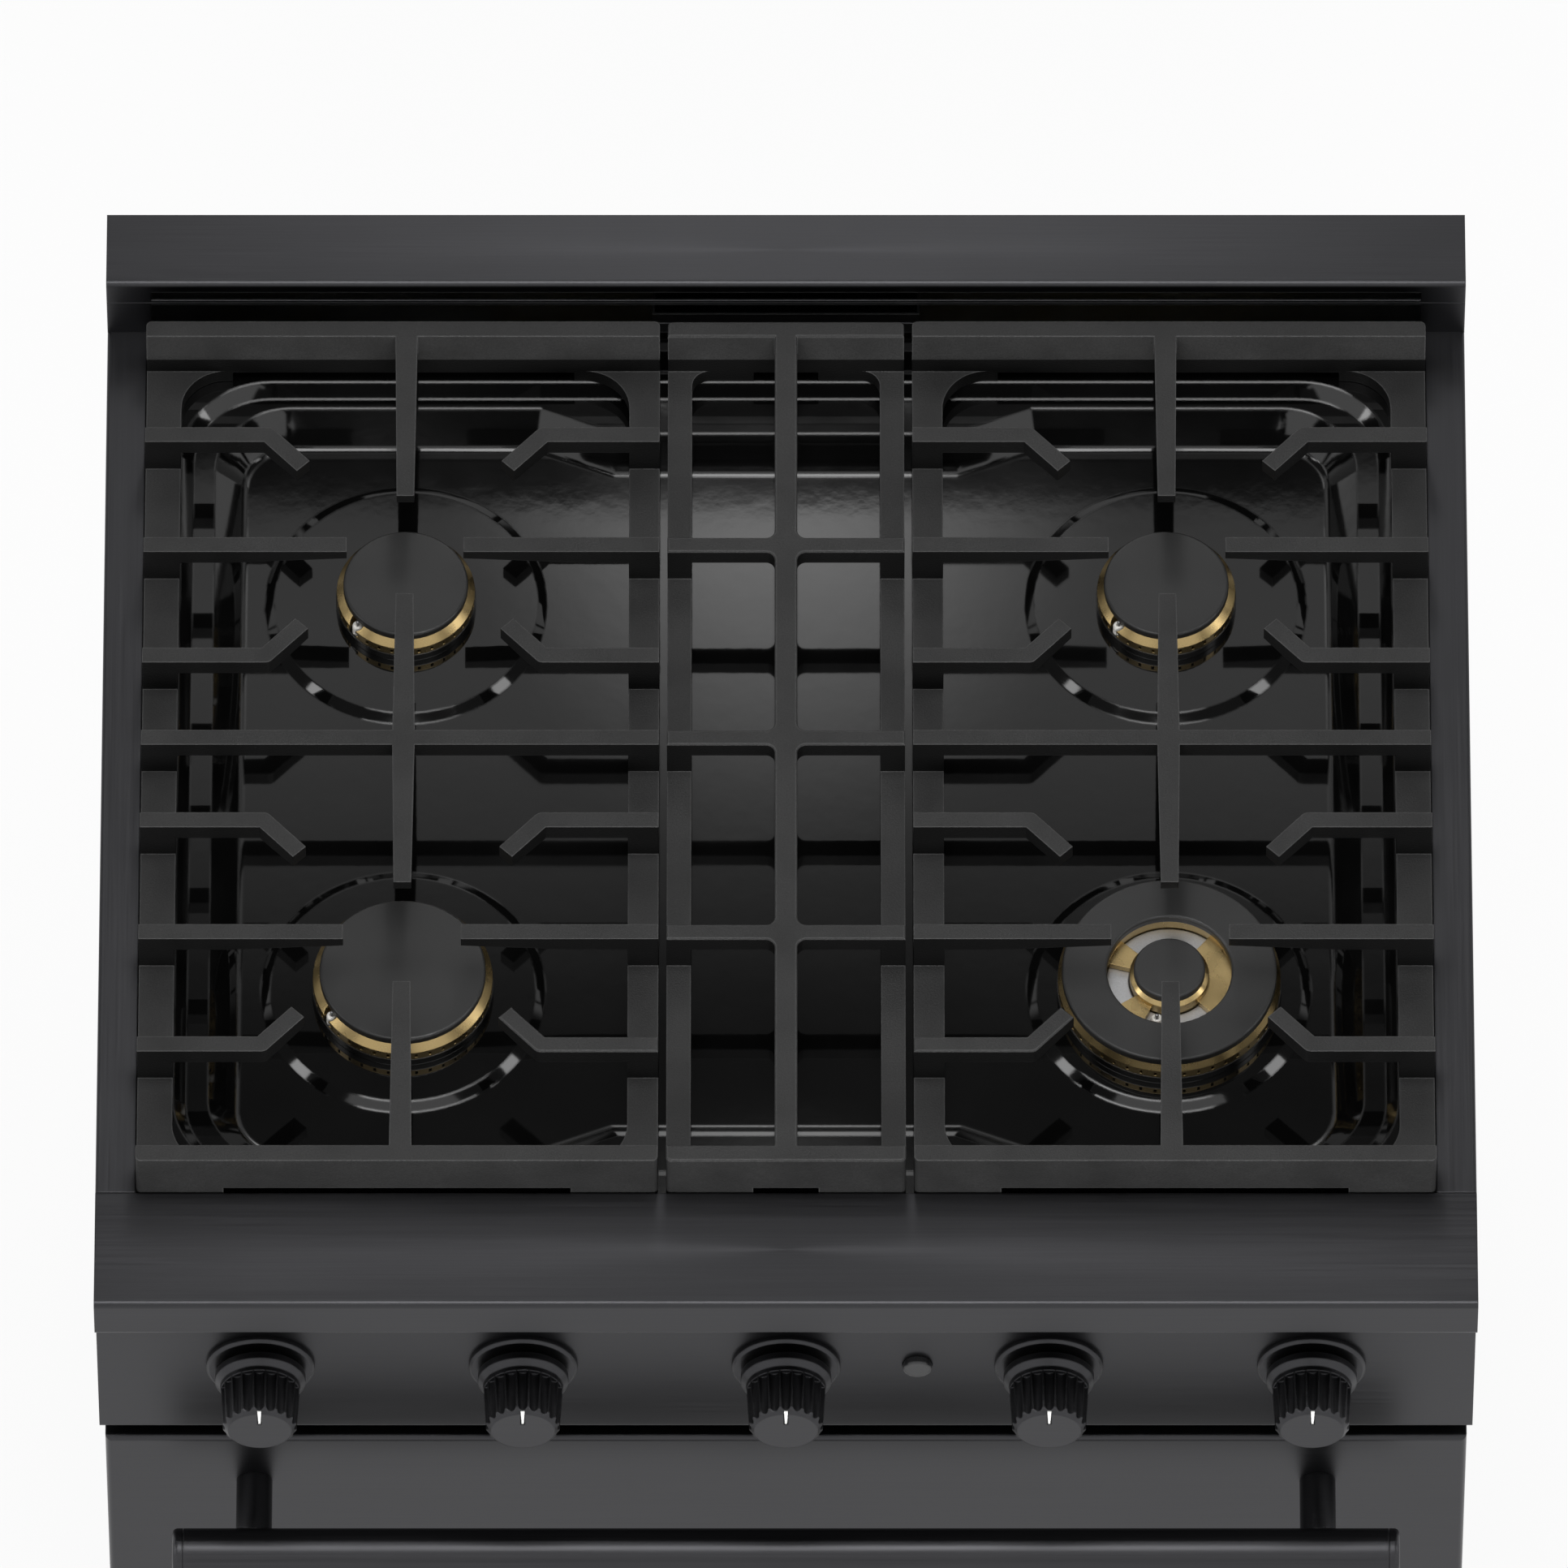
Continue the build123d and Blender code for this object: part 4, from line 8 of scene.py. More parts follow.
import bpy
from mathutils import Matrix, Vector


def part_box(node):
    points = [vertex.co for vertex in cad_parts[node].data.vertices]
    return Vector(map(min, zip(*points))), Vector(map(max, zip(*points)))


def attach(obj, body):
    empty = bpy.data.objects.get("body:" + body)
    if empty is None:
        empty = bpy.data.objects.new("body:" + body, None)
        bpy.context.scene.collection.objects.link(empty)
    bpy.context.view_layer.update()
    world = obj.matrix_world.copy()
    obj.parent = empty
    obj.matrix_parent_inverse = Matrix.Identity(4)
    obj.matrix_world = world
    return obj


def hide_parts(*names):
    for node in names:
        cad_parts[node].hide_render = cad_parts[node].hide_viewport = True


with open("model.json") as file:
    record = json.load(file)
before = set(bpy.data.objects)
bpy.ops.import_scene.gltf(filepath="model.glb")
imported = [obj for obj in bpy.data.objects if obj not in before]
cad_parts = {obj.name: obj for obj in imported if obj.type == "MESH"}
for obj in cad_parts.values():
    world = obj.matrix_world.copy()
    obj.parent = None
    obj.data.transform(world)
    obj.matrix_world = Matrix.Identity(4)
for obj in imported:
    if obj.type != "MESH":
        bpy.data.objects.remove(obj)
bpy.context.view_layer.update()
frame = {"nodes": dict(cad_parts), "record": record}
nodes = frame["nodes"]
scene = bpy.context.scene

# %% [markdown]
# The picture was taken with a long lens, or corrected to look so: the sides of the cooktop stay parallel
# and round caps show as ellipses 0.84 as high as wide. A camera that looks down at 57 degrees gives that
# ratio, the sine of the angle, and one that stands far off keeps the sides parallel. The aim and the width
# of the view put the front ledge and the backguard where the picture has them.

# %% Camera
LOOK_DOWN = radians(57)
CAMERA_DISTANCE = 17.0
CAMERA_SIGHT = 80.0
VIEW_WIDTH = 0.870
AIM = Vector((-0.0011, 0.0179, 0.914))

camera_data = bpy.data.cameras.new("studio_camera")
camera_data.lens = camera_data.sensor_width * CAMERA_DISTANCE / VIEW_WIDTH
camera_data.clip_end = CAMERA_SIGHT
camera = bpy.data.objects.new("studio_camera", camera_data)
camera.location = AIM + Vector((0, -cos(LOOK_DOWN), sin(LOOK_DOWN))) * CAMERA_DISTANCE
camera.rotation_euler = (pi / 2 - LOOK_DOWN, 0, 0)
scene.collection.objects.link(camera)
scene.camera = camera
scene.view_settings.view_transform = "Standard"
print("lens:", round(camera_data.lens), "mm")

# %% [markdown]
# Three helpers serve every finish. Colours are picked as hex values, as a painter's chart gives them, and
# the shader wants linear light, so one function turns the first into the second by the standard screen
# curve. The next adds a node to a material with its settings and with what feeds it, so that a finish reads
# from top to bottom. The last starts a material with the values that stay the same all over it.

# %% Colour and node helpers


def hex_colour(code):
    """A hex colour as linear light, with full alpha."""
    shares = [int(code[start : start + 2], 16) / 255 for start in (1, 3, 5)]
    linear = [share / 12.92 if share <= 0.04045 else ((share + 0.055) / 1.055) ** 2.4 for share in shares]
    return linear + [1.0]


def add_node(tree, kind, feeds, **settings):
    """A new node; feeds gives each input either a value or the output that is linked to it."""
    node = tree.nodes.new(kind)
    for name, value in settings.items():
        setattr(node, name, value)
    for name, value in feeds.items():
        if isinstance(value, bpy.types.NodeSocket):
            tree.links.new(value, node.inputs[name])
        else:
            node.inputs[name].default_value = value
    return node


def new_finish(name, **sockets):
    """A material with its shader's constant values set, and its node tree and shader."""
    material = bpy.data.materials.new(name)
    material.use_nodes = True
    shader = material.node_tree.nodes["Principled BSDF"]
    for socket, value in sockets.items():
        shader.inputs[socket.replace("_", " ")].default_value = value
    return material, material.node_tree, shader


# %% [markdown]
# A black object on white needs light that it can mirror. The world is white where the eye, a mirror or a
# glass meets it, and much dimmer where it only lights. The kind of ray tells the two apart.

# %% White world
WHITE = hex_colour("#ffffff")
WORLD_FILL = 0.08


def seen_share(tree):
    """1 for rays from the eye, a mirror or a glass, and 0 for rays that only light."""
    path = add_node(tree, "ShaderNodeLightPath", {})
    first = add_node(
        tree,
        "ShaderNodeMath",
        {0: path.outputs["Is Camera Ray"], 1: path.outputs["Is Glossy Ray"]},
        operation="MAXIMUM",
    )
    both = add_node(
        tree,
        "ShaderNodeMath",
        {0: first.outputs[0], 1: path.outputs["Is Transmission Ray"]},
        operation="MAXIMUM",
    )
    return both.outputs[0]


world = bpy.data.worlds.new("studio")
world.use_nodes = True
scene.world = world
sky = world.node_tree
fill = sky.nodes["Background"]
fill.inputs["Color"].default_value = WHITE
fill.inputs["Strength"].default_value = WORLD_FILL
backdrop = add_node(sky, "ShaderNodeBackground", {"Color": WHITE, "Strength": 1.0})
shown = add_node(
    sky, "ShaderNodeMixShader", {0: seen_share(sky), 1: fill.outputs[0], 2: backdrop.outputs[0]}
)
sky.links.new(shown.outputs[0], sky.nodes["World Output"].inputs["Surface"])
print("world lights with", WORLD_FILL, "of white")

# %% [markdown]
# The floor is pale paper. It glows for the eye and for mirrors, so that it runs into the white world, and
# keeps a share of its own shading for the shadow of the range.

# %% Paper floor
FLOOR_SIZE = 60.0
FLOOR_GLOW = 0.92

bpy.ops.object.select_all(action="DESELECT")
bpy.ops.mesh.primitive_plane_add(size=FLOOR_SIZE)
floor = bpy.context.object
floor.name = "studio_floor"
paper, paper_tree, paper_shader = new_finish(
    "pale_paper_floor", Base_Color=hex_colour("#f4f4f4"), Roughness=0.9
)
glow = add_node(paper_tree, "ShaderNodeEmission", {"Color": WHITE, "Strength": 1.0})
share = add_node(
    paper_tree, "ShaderNodeMath", {0: seen_share(paper_tree), 1: FLOOR_GLOW}, operation="MULTIPLY"
)
lit = add_node(
    paper_tree, "ShaderNodeMixShader", {0: share.outputs[0], 1: paper_shader.outputs[0], 2: glow.outputs[0]}
)
paper_tree.links.new(lit.outputs[0], paper_tree.nodes["Material Output"].inputs["Surface"])
floor.data.materials.append(paper)
print("floor:", FLOOR_SIZE, "m")

# %% [markdown]
# One softbox hangs overhead for the tops of the grates and the ledge. A low one stands in front for the
# sloped bars, and isn't mirrored, because the pan's rear wall would show it as a grey band. Two strips draw
# the highlights on the pan's rounded walls. Each has a place, a size and a power in watts.

# %% Softboxes
SOFTBOXES = {
    "top_softbox": ((0.0, -0.10, 3.1), (1.2, 1.2), 30.0),
    "front_softbox": ((0.0, -2.6, 1.9), (1.8, 0.7), 88.0),
    "left_softbox": ((-2.1, -0.3, 2.6), (0.35, 1.8), 9.0),
    "right_softbox": ((2.1, -0.2, 2.6), (0.35, 1.8), 8.0),
}
UNMIRRORED = "front_softbox"

for name, (place, size, power) in SOFTBOXES.items():
    lamp_data = bpy.data.lights.new(name, "AREA")
    lamp_data.shape = "RECTANGLE"
    lamp_data.size, lamp_data.size_y = size
    lamp_data.energy = power
    lamp = bpy.data.objects.new(name, lamp_data)
    lamp.location = place
    lamp.rotation_euler = (AIM - Vector(place)).to_track_quat("-Z", "Y").to_euler()
    lamp.visible_glossy = name != UNMIRRORED
    scene.collection.objects.link(lamp)
print("softboxes:", len(SOFTBOXES))

# %% [markdown]
# The level pan mirrors what hangs over the back of the range, along the camera's own angle. That is a large
# card, which leans forward over the range. The eye doesn't see it, and it throws no shadow.

# %% Mirrored light card
CARD_SIZE = 6.0
CARD_REACH = 2.0

bpy.ops.object.select_all(action="DESELECT")
bpy.ops.mesh.primitive_plane_add(size=CARD_SIZE)
card = bpy.context.object
card.name = "mirrored_light_card"
card_way = Vector((0, cos(LOOK_DOWN), sin(LOOK_DOWN)))
card.location = AIM + card_way * CARD_REACH
card.rotation_euler = (-card_way).to_track_quat("-Z", "Y").to_euler()
card.visible_camera = False
card.visible_shadow = False
print("light card at", [round(value, 2) for value in card.location])

# %% [markdown]
# The card's light is graded: a bright spot beyond the backguard, a second one for the ledge, a weak glow
# that fades between them, and dark around. It makes the enamel grey at the back and nearly black in front,
# with the grates dark in it. A black strip across the card keeps the pan's rear wall dark. Each spot has a
# middle on the card, a radius and a level, and is narrower across than along.

# %% Light of the card
SPOT_STRETCH = 2.0
SPOTS = [((0.0, -0.50, 0.0), 0.54, 5.6), ((0.0, 0.52, 0.0), 0.36, 6.0)]
GLOW_FROM, GLOW_TO = -0.12, 0.15
GLOW_LEVEL, CARD_LEVEL = 0.65, 0.08
STRIP_MIDDLE = -0.232
STRIP_HALF = (0.022, 0.030)
STRIP_LEVEL = 0.03

card_glow = bpy.data.materials.new("graded_light_card")
card_glow.use_nodes = True
card_tree = card_glow.node_tree
card_tree.nodes.remove(card_tree.nodes["Principled BSDF"])
card_place = add_node(card_tree, "ShaderNodeTexCoord", {})
card_wide = add_node(
    card_tree, "ShaderNodeMapping", {"Vector": card_place.outputs["Object"], "Scale": (SPOT_STRETCH, 1, 1)}
)
card_axes = add_node(card_tree, "ShaderNodeSeparateXYZ", {0: card_place.outputs["Object"]})
glow_fall = add_node(
    card_tree,
    "ShaderNodeMapRange",
    {
        "Value": card_axes.outputs["Y"],
        "From Min": GLOW_FROM,
        "From Max": GLOW_TO,
        "To Min": GLOW_LEVEL,
        "To Max": CARD_LEVEL,
    },
    interpolation_type="SMOOTHSTEP",
)
card_sum = glow_fall
for middle, radius, level in SPOTS:
    spot_off = add_node(
        card_tree, "ShaderNodeVectorMath", {0: card_wide.outputs[0], 1: middle}, operation="DISTANCE"
    )
    spot = add_node(
        card_tree,
        "ShaderNodeMapRange",
        {"Value": spot_off.outputs["Value"], "From Max": radius, "To Min": level, "To Max": 0.0},
        interpolation_type="SMOOTHSTEP",
    )
    card_sum = add_node(
        card_tree, "ShaderNodeMath", {0: card_sum.outputs[0], 1: spot.outputs[0]}, operation="ADD"
    )
strip_side = add_node(
    card_tree, "ShaderNodeMath", {0: card_axes.outputs["Y"], 1: STRIP_MIDDLE}, operation="SUBTRACT"
)
strip_off = add_node(card_tree, "ShaderNodeMath", {0: strip_side.outputs[0]}, operation="ABSOLUTE")
strip = add_node(
    card_tree,
    "ShaderNodeMapRange",
    {
        "Value": strip_off.outputs[0],
        "From Min": STRIP_HALF[0],
        "From Max": STRIP_HALF[1],
        "To Min": STRIP_LEVEL,
    },
)
card_level = add_node(
    card_tree, "ShaderNodeMath", {0: card_sum.outputs[0], 1: strip.outputs[0]}, operation="MULTIPLY"
)
card_light = add_node(card_tree, "ShaderNodeEmission", {"Strength": card_level.outputs[0]})
card_tree.links.new(card_light.outputs[0], card_tree.nodes["Material Output"].inputs["Surface"])
card.data.materials.append(card_glow)
print("spots on the card:", len(SPOTS))

# %% [markdown]
# A wide black flag stands in front of the range and far above its height. The pan's rear wall and the
# grates face it, and mirror dark cloth instead of the white surroundings. It takes no part in the lighting,
# and the eye doesn't see it either.

# %% Black flag
FLAG_SIZE = (24.0, 6.8)
FLAG_PLACE = (0.0, -4.2, 3.6)

bpy.ops.object.select_all(action="DESELECT")
bpy.ops.mesh.primitive_plane_add(
    size=1, location=FLAG_PLACE, rotation=(pi / 2, 0, 0), scale=(*FLAG_SIZE, 1)
)
flag = bpy.context.object
flag.name = "black_flag"
flag.visible_camera = False
flag.visible_shadow = False
flag.visible_diffuse = False
flag_cloth = new_finish("black_cloth", Base_Color=hex_colour("#0a0a0a"), Roughness=1.0)[0]
flag.data.materials.append(flag_cloth)
print("flag:", FLAG_SIZE, "m")

# %% [markdown]
# Black stainless steel is sheet that was brushed along its length and then darkened by a thin oxide film.
# The eye sees a soft dark metal with fine streaks, which blur reflections along the brush marks. The
# streaks are noise stretched along one axis. Real marks are about a quarter of a millimetre wide: they are
# drawn wider so that they show. Hands leave large smudges, where the film is a little glossier or duller.

# %% Black stainless steel
BRUSH_WIDTH = 0.0009
BRUSH_LENGTH = 0.09
BRUSH_DEPTH = 0.0002
BRUSH_STRENGTH = 0.03
STEEL_TONES = ("#3b3b3d", "#464648")
STEEL_GLOSS = (0.32, 0.38)
SMUDGE_SIZE = 0.16
SMUDGE_SPREAD = (0.35, 0.7)
SMUDGE_GLOSS = (-0.015, 0.03)
NOISE_SPREAD = (0.3, 0.7)
EDGE_ROUND = 0.0012
EDGE_SAMPLES = 4


def brushed_black(name, along):
    """Darkened stainless sheet with brush marks along one axis."""
    steel, tree, shader = new_finish(name, Metallic=1.0, Anisotropic=0.35)
    place = add_node(tree, "ShaderNodeTexCoord", {})
    stretch = [1 / BRUSH_LENGTH if axis == along else 1 / BRUSH_WIDTH for axis in "XYZ"]
    marks = add_node(tree, "ShaderNodeMapping", {"Vector": place.outputs["Object"], "Scale": stretch})
    streaks = add_node(
        tree,
        "ShaderNodeTexNoise",
        {"Vector": marks.outputs[0], "Scale": 1.0, "Detail": 3.0, "Roughness": 0.6},
    )
    smudges = add_node(
        tree,
        "ShaderNodeTexNoise",
        {"Vector": place.outputs["Object"], "Scale": 1 / SMUDGE_SIZE, "Detail": 4.0},
    )
    colour = add_node(
        tree,
        "ShaderNodeMix",
        {0: streaks.outputs["Fac"], 6: hex_colour(STEEL_TONES[0]), 7: hex_colour(STEEL_TONES[1])},
        data_type="RGBA",
    )
    soft = add_node(
        tree,
        "ShaderNodeMapRange",
        {
            "Value": streaks.outputs["Fac"],
            "From Min": NOISE_SPREAD[0],
            "From Max": NOISE_SPREAD[1],
            "To Min": STEEL_GLOSS[0],
            "To Max": STEEL_GLOSS[1],
        },
    )
    touched = add_node(
        tree,
        "ShaderNodeMapRange",
        {
            "Value": smudges.outputs["Fac"],
            "From Min": SMUDGE_SPREAD[0],
            "From Max": SMUDGE_SPREAD[1],
            "To Min": SMUDGE_GLOSS[0],
            "To Max": SMUDGE_GLOSS[1],
        },
    )
    rough = add_node(tree, "ShaderNodeMath", {0: soft.outputs[0], 1: touched.outputs[0]}, operation="ADD")
    edges = add_node(tree, "ShaderNodeBevel", {"Radius": EDGE_ROUND}, samples=EDGE_SAMPLES)
    relief = add_node(
        tree,
        "ShaderNodeBump",
        {
            "Strength": BRUSH_STRENGTH,
            "Distance": BRUSH_DEPTH,
            "Height": streaks.outputs["Fac"],
            "Normal": edges.outputs[0],
        },
    )
    tree.links.new(colour.outputs[2], shader.inputs["Base Color"])
    tree.links.new(rough.outputs[0], shader.inputs["Roughness"])
    tree.links.new(relief.outputs[0], shader.inputs["Normal"])
    return steel


steel_across = brushed_black("black_stainless_brushed_across", "X")
steel_back = brushed_black("black_stainless_brushed_front_to_back", "Y")
print("finish:", steel_across.name, steel_back.name)

# %% [markdown]
# Edges are rounded in the shading, and where that turns the surface away from its flat face, the colour is
# lighter: a painted highlight on the edges. The upright sides between the flames get painted shade, a dark
# tone, apart from the front face, which stays as lit. Each of the two takes a colour and gives it back with
# its own tone mixed in.

# %% Painted edge highlight and painted side shade
# painted highlight: how far the rounded shading turns from the flat face before the edge is lit
HIGHLIGHT_TURN = (0.99, 0.85)
# painted shade: faces this upright are darkened, and it fades in behind the front face
SHADE_SLOPE = (0.30, 0.08)
SHADE_FADE = 0.002


def painted_edge_highlight(tree, colour, edges, grains, tone):
    """The colour, with a painted highlight: a lighter tone in the grain of the rounded edges."""
    flat = add_node(tree, "ShaderNodeNewGeometry", {})
    turn = add_node(
        tree,
        "ShaderNodeVectorMath",
        {0: edges.outputs[0], 1: flat.outputs["True Normal"]},
        operation="DOT_PRODUCT",
    )
    highlight_edge = add_node(
        tree,
        "ShaderNodeMapRange",
        {"Value": turn.outputs["Value"], "From Min": HIGHLIGHT_TURN[0], "From Max": HIGHLIGHT_TURN[1]},
    )
    highlight_share = add_node(
        tree, "ShaderNodeMath", {0: highlight_edge.outputs[0], 1: grains.outputs["Fac"]}, operation="MULTIPLY"
    )
    return add_node(
        tree,
        "ShaderNodeMix",
        {0: highlight_share.outputs[0], 6: colour.outputs[2], 7: hex_colour(tone)},
        data_type="RGBA",
    )


def painted_side_shade(tree, colour, place, tone, shaded_from):
    """The colour, with painted shade: a dark tone on the upright sides that lie behind the lit front face.
    """
    facing = add_node(tree, "ShaderNodeSeparateXYZ", {0: place.outputs["Normal"]})
    upright = add_node(
        tree,
        "ShaderNodeMapRange",
        {"Value": facing.outputs["Z"], "From Min": SHADE_SLOPE[0], "From Max": SHADE_SLOPE[1]},
    )
    point = add_node(tree, "ShaderNodeSeparateXYZ", {0: place.outputs["Object"]})
    behind = add_node(
        tree,
        "ShaderNodeMapRange",
        {"Value": point.outputs["Y"], "From Min": shaded_from, "From Max": shaded_from + SHADE_FADE},
    )
    shade_share = add_node(
        tree, "ShaderNodeMath", {0: upright.outputs[0], 1: behind.outputs[0]}, operation="MULTIPLY"
    )
    return add_node(
        tree,
        "ShaderNodeMix",
        {0: shade_share.outputs[0], 6: colour.outputs[2], 7: hex_colour(tone)},
        data_type="RGBA",
    )


# %% [markdown]
# The other finishes differ in colour, gloss and grain but are put together alike: a base colour that
# wanders between two tones, a roughness that wanders too, and a fine relief of one grain size. One function
# makes them all, and each finish below states its own material facts: its two tones, its range of
# roughness, and the sizes of its grain, relief, patches and rounded edges.

# %% Grained finishes
PATCH_SIZE = 0.06
TONE_LIFT = 0.2


def grained(
    name,
    tones,
    gloss,
    grain,
    relief,
    patch=PATCH_SIZE,
    round_edges=EDGE_ROUND,
    edge_highlight=None,
    side_shade=None,
    **sockets,
):
    """A finish of two tones, a roughness range and a relief, with a painted edge highlight and painted side
    shade where it says so.
    """
    surface, tree, shader = new_finish(name, **sockets)
    place = add_node(tree, "ShaderNodeTexCoord", {})
    patches = add_node(
        tree, "ShaderNodeTexNoise", {"Vector": place.outputs["Object"], "Scale": 1 / patch, "Detail": 5.0}
    )
    grains = add_node(
        tree, "ShaderNodeTexNoise", {"Vector": place.outputs["Object"], "Scale": 1 / grain, "Detail": 3.0}
    )
    blend = add_node(
        tree,
        "ShaderNodeMath",
        {0: patches.outputs["Fac"], 1: grains.outputs["Fac"], 2: TONE_LIFT},
        operation="MULTIPLY_ADD",
    )
    colour = add_node(
        tree,
        "ShaderNodeMix",
        {0: blend.outputs[0], 6: hex_colour(tones[0]), 7: hex_colour(tones[1])},
        data_type="RGBA",
    )
    rough = add_node(
        tree,
        "ShaderNodeMapRange",
        {
            "Value": patches.outputs["Fac"],
            "From Min": NOISE_SPREAD[0],
            "From Max": NOISE_SPREAD[1],
            "To Min": gloss[0],
            "To Max": gloss[1],
        },
    )
    edges = add_node(tree, "ShaderNodeBevel", {"Radius": round_edges}, samples=EDGE_SAMPLES)
    bumps = add_node(
        tree,
        "ShaderNodeBump",
        {"Strength": 1.0, "Distance": relief, "Height": grains.outputs["Fac"], "Normal": edges.outputs[0]},
    )
    if edge_highlight:
        colour = painted_edge_highlight(tree, colour, edges, grains, edge_highlight)
    if side_shade:
        colour = painted_side_shade(tree, colour, place, *side_shade)
    tree.links.new(colour.outputs[2], shader.inputs["Base Color"])
    tree.links.new(rough.outputs[0], shader.inputs["Roughness"])
    tree.links.new(bumps.outputs[0], shader.inputs["Normal"])
    return surface


# %% [markdown]
# The cooktop's own finishes. The grates are sand-cast iron under matte enamel, so they keep the mould's
# grain. Their rounded edges get a painted highlight, and their upright sides behind the front face get
# painted shade; the tops, slopes and front face keep the iron's tone. The caps are the same iron under a
# smoother enamel, with the same painted highlight on their edges. The pan is sheet steel under gloss
# enamel, as smooth as glass apart from slow waves. The flame heads are forged brass, blasted to a satin.
# The dish inside the dual burner is bare cast aluminium, as are the burner tubes and the regulator. The
# grain of moulding sand is about 0.3 mm and that of blasting grit 0.1 mm: both are drawn coarser so that
# they show.

# %% Cooktop finishes
# painted shade starts this far behind the front of the grates, so that their lit front face keeps its tone
UNSHADED_FRONT_DEPTH = 0.002

cast_iron = grained(
    "cast_iron_matte_enamel",
    ("#131313", "#3b3b3b"),
    (0.42, 0.6),
    grain=0.0010,
    relief=0.00022,
    patch=0.03,
    # painted highlight on the rounded edges of the grates
    edge_highlight="#6a6a6a",
    # painted shade on the upright sides of the grates
    side_shade=("#0d0d0d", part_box("grate_left")[0][1] + UNSHADED_FRONT_DEPTH),
    Specular_IOR_Level=0.18,
)
cap_enamel = grained(
    "cap_matte_enamel",
    ("#1d1d1d", "#282828"),
    (0.32, 0.4),
    grain=0.0006,
    relief=0.00003,
    patch=0.05,
    round_edges=0.0008,
    # painted highlight on the rounded edges of the caps
    edge_highlight="#4a4a4a",
    Specular_IOR_Level=0.35,
)
pan_enamel = grained(
    "gloss_black_enamel",
    ("#030303", "#0a0a0a"),
    (0.035, 0.075),
    grain=0.012,
    relief=0.000015,
    patch=0.12,
    round_edges=0.0018,
    IOR=1.58,
)
base_enamel = grained(
    "burner_base_enamel", ("#050505", "#101010"), (0.16, 0.3), grain=0.002, relief=0.00003
)
brass = grained(
    "satin_brass",
    ("#9a8458", "#c4ad7d"),
    (0.22, 0.34),
    grain=0.0006,
    relief=0.00002,
    patch=0.02,
    round_edges=0.0006,
    Metallic=1.0,
)
aluminium = grained(
    "cast_aluminium",
    ("#8f8f90", "#bdbdbe"),
    (0.34, 0.5),
    grain=0.001,
    relief=0.00008,
    patch=0.02,
    Metallic=1.0,
)
print("cooktop finishes ready")

# %% [markdown]
# The sheet of the casing and the oven. The painted sides show the slight grain of sprayed paint. The back
# and the base are galvanised, with zinc crystals of about a centimetre. The oven and the inside of its door
# are lined with gloss enamel that has pale specks of 2 mm.

# %% Sheet finishes
painted = grained(
    "black_painted_sheet", ("#141415", "#1a1a1b"), (0.38, 0.44), grain=0.0016, relief=0.00004, patch=0.2
)
zinc = grained(
    "galvanised_sheet",
    ("#8d9092", "#b4b6b8"),
    (0.34, 0.52),
    grain=0.011,
    relief=0.00002,
    patch=0.03,
    Metallic=1.0,
)
oven_enamel = grained(
    "oven_grey_enamel", ("#23262c", "#343842"), (0.10, 0.2), grain=0.0022, relief=0.00003, patch=0.01
)
print("sheet finishes ready")

# %% [markdown]
# The metal of the smaller pieces. Oven burners, gas pipes and feet are plain drawn steel, dull and grey.
# The racks and their guides are chromed wire, bright as a mirror. The valves and the collars behind the
# knobs are turned brass, more yellow than the flame heads. The screws are plated with zinc. The marks of
# drawing and turning are finer than the eye sees here, and are drawn about 1 mm wide.

# %% Small metal finishes
plain_steel = grained(
    "plain_steel", ("#7d7d7f", "#a3a3a5"), (0.28, 0.42), grain=0.0012, relief=0.00003, Metallic=1.0
)
chrome = grained(
    "chromed_wire", ("#cfcfd2", "#e4e4e6"), (0.06, 0.14), grain=0.003, relief=0.00001, Metallic=1.0
)
valve_brass = grained(
    "machined_brass", ("#b09045", "#d6b768"), (0.2, 0.32), grain=0.0009, relief=0.00002, Metallic=1.0
)
zinc_screw = grained(
    "zinc_plated_steel",
    ("#6f6c62", "#8d897b"),
    (0.24, 0.36),
    grain=0.0009,
    relief=0.00001,
    patch=0.006,
    Metallic=1.0,
)
print("small metal finishes ready")

# %% [markdown]
# What isn't metal. Igniters are glazed alumina, and the knobs' pointers are white enamel. Insulation is
# mineral wool with tufts of 3 mm, and the gasket is woven from glass-fibre yarn of 2 mm. The spark module
# and the lamp's switch are moulded plastic with a fine matte texture, drawn at 1 mm, and the button is a
# glossy one. The panes are tinted glass, and the lamp's is frosted.

# %% Ceramic, fibre, plastic and glass finishes
GLASS_CLEAR = 0.85

ceramic = grained(
    "white_alumina_ceramic", ("#d9d6cf", "#f1efea"), (0.3, 0.42), grain=0.0008, relief=0.00002
)
inlay = grained(
    "white_enamel_inlay", ("#d8d8d6", "#e6e6e4"), (0.25, 0.38), grain=0.0006, relief=0.00001, patch=0.01
)
wool = grained("mineral_wool", ("#b5a468", "#d8c88e"), (0.9, 1.0), grain=0.003, relief=0.0012, patch=0.02)
woven = grained("woven_glass_fibre", ("#3a3a38", "#5a5a56"), (0.85, 0.95), grain=0.0018, relief=0.0005)
dark_plastic = grained(
    "black_moulded_plastic", ("#161617", "#202021"), (0.45, 0.6), grain=0.0009, relief=0.00005
)
button_plastic = grained(
    "black_gloss_plastic", ("#1b1b1c", "#262627"), (0.18, 0.28), grain=0.0015, relief=0.00001
)
dark_glass = grained(
    "tinted_oven_glass",
    ("#20242a", "#2a2f36"),
    (0.02, 0.05),
    grain=0.02,
    relief=0.000003,
    Transmission_Weight=GLASS_CLEAR,
    IOR=1.5,
    Specular_IOR_Level=0.15,
)
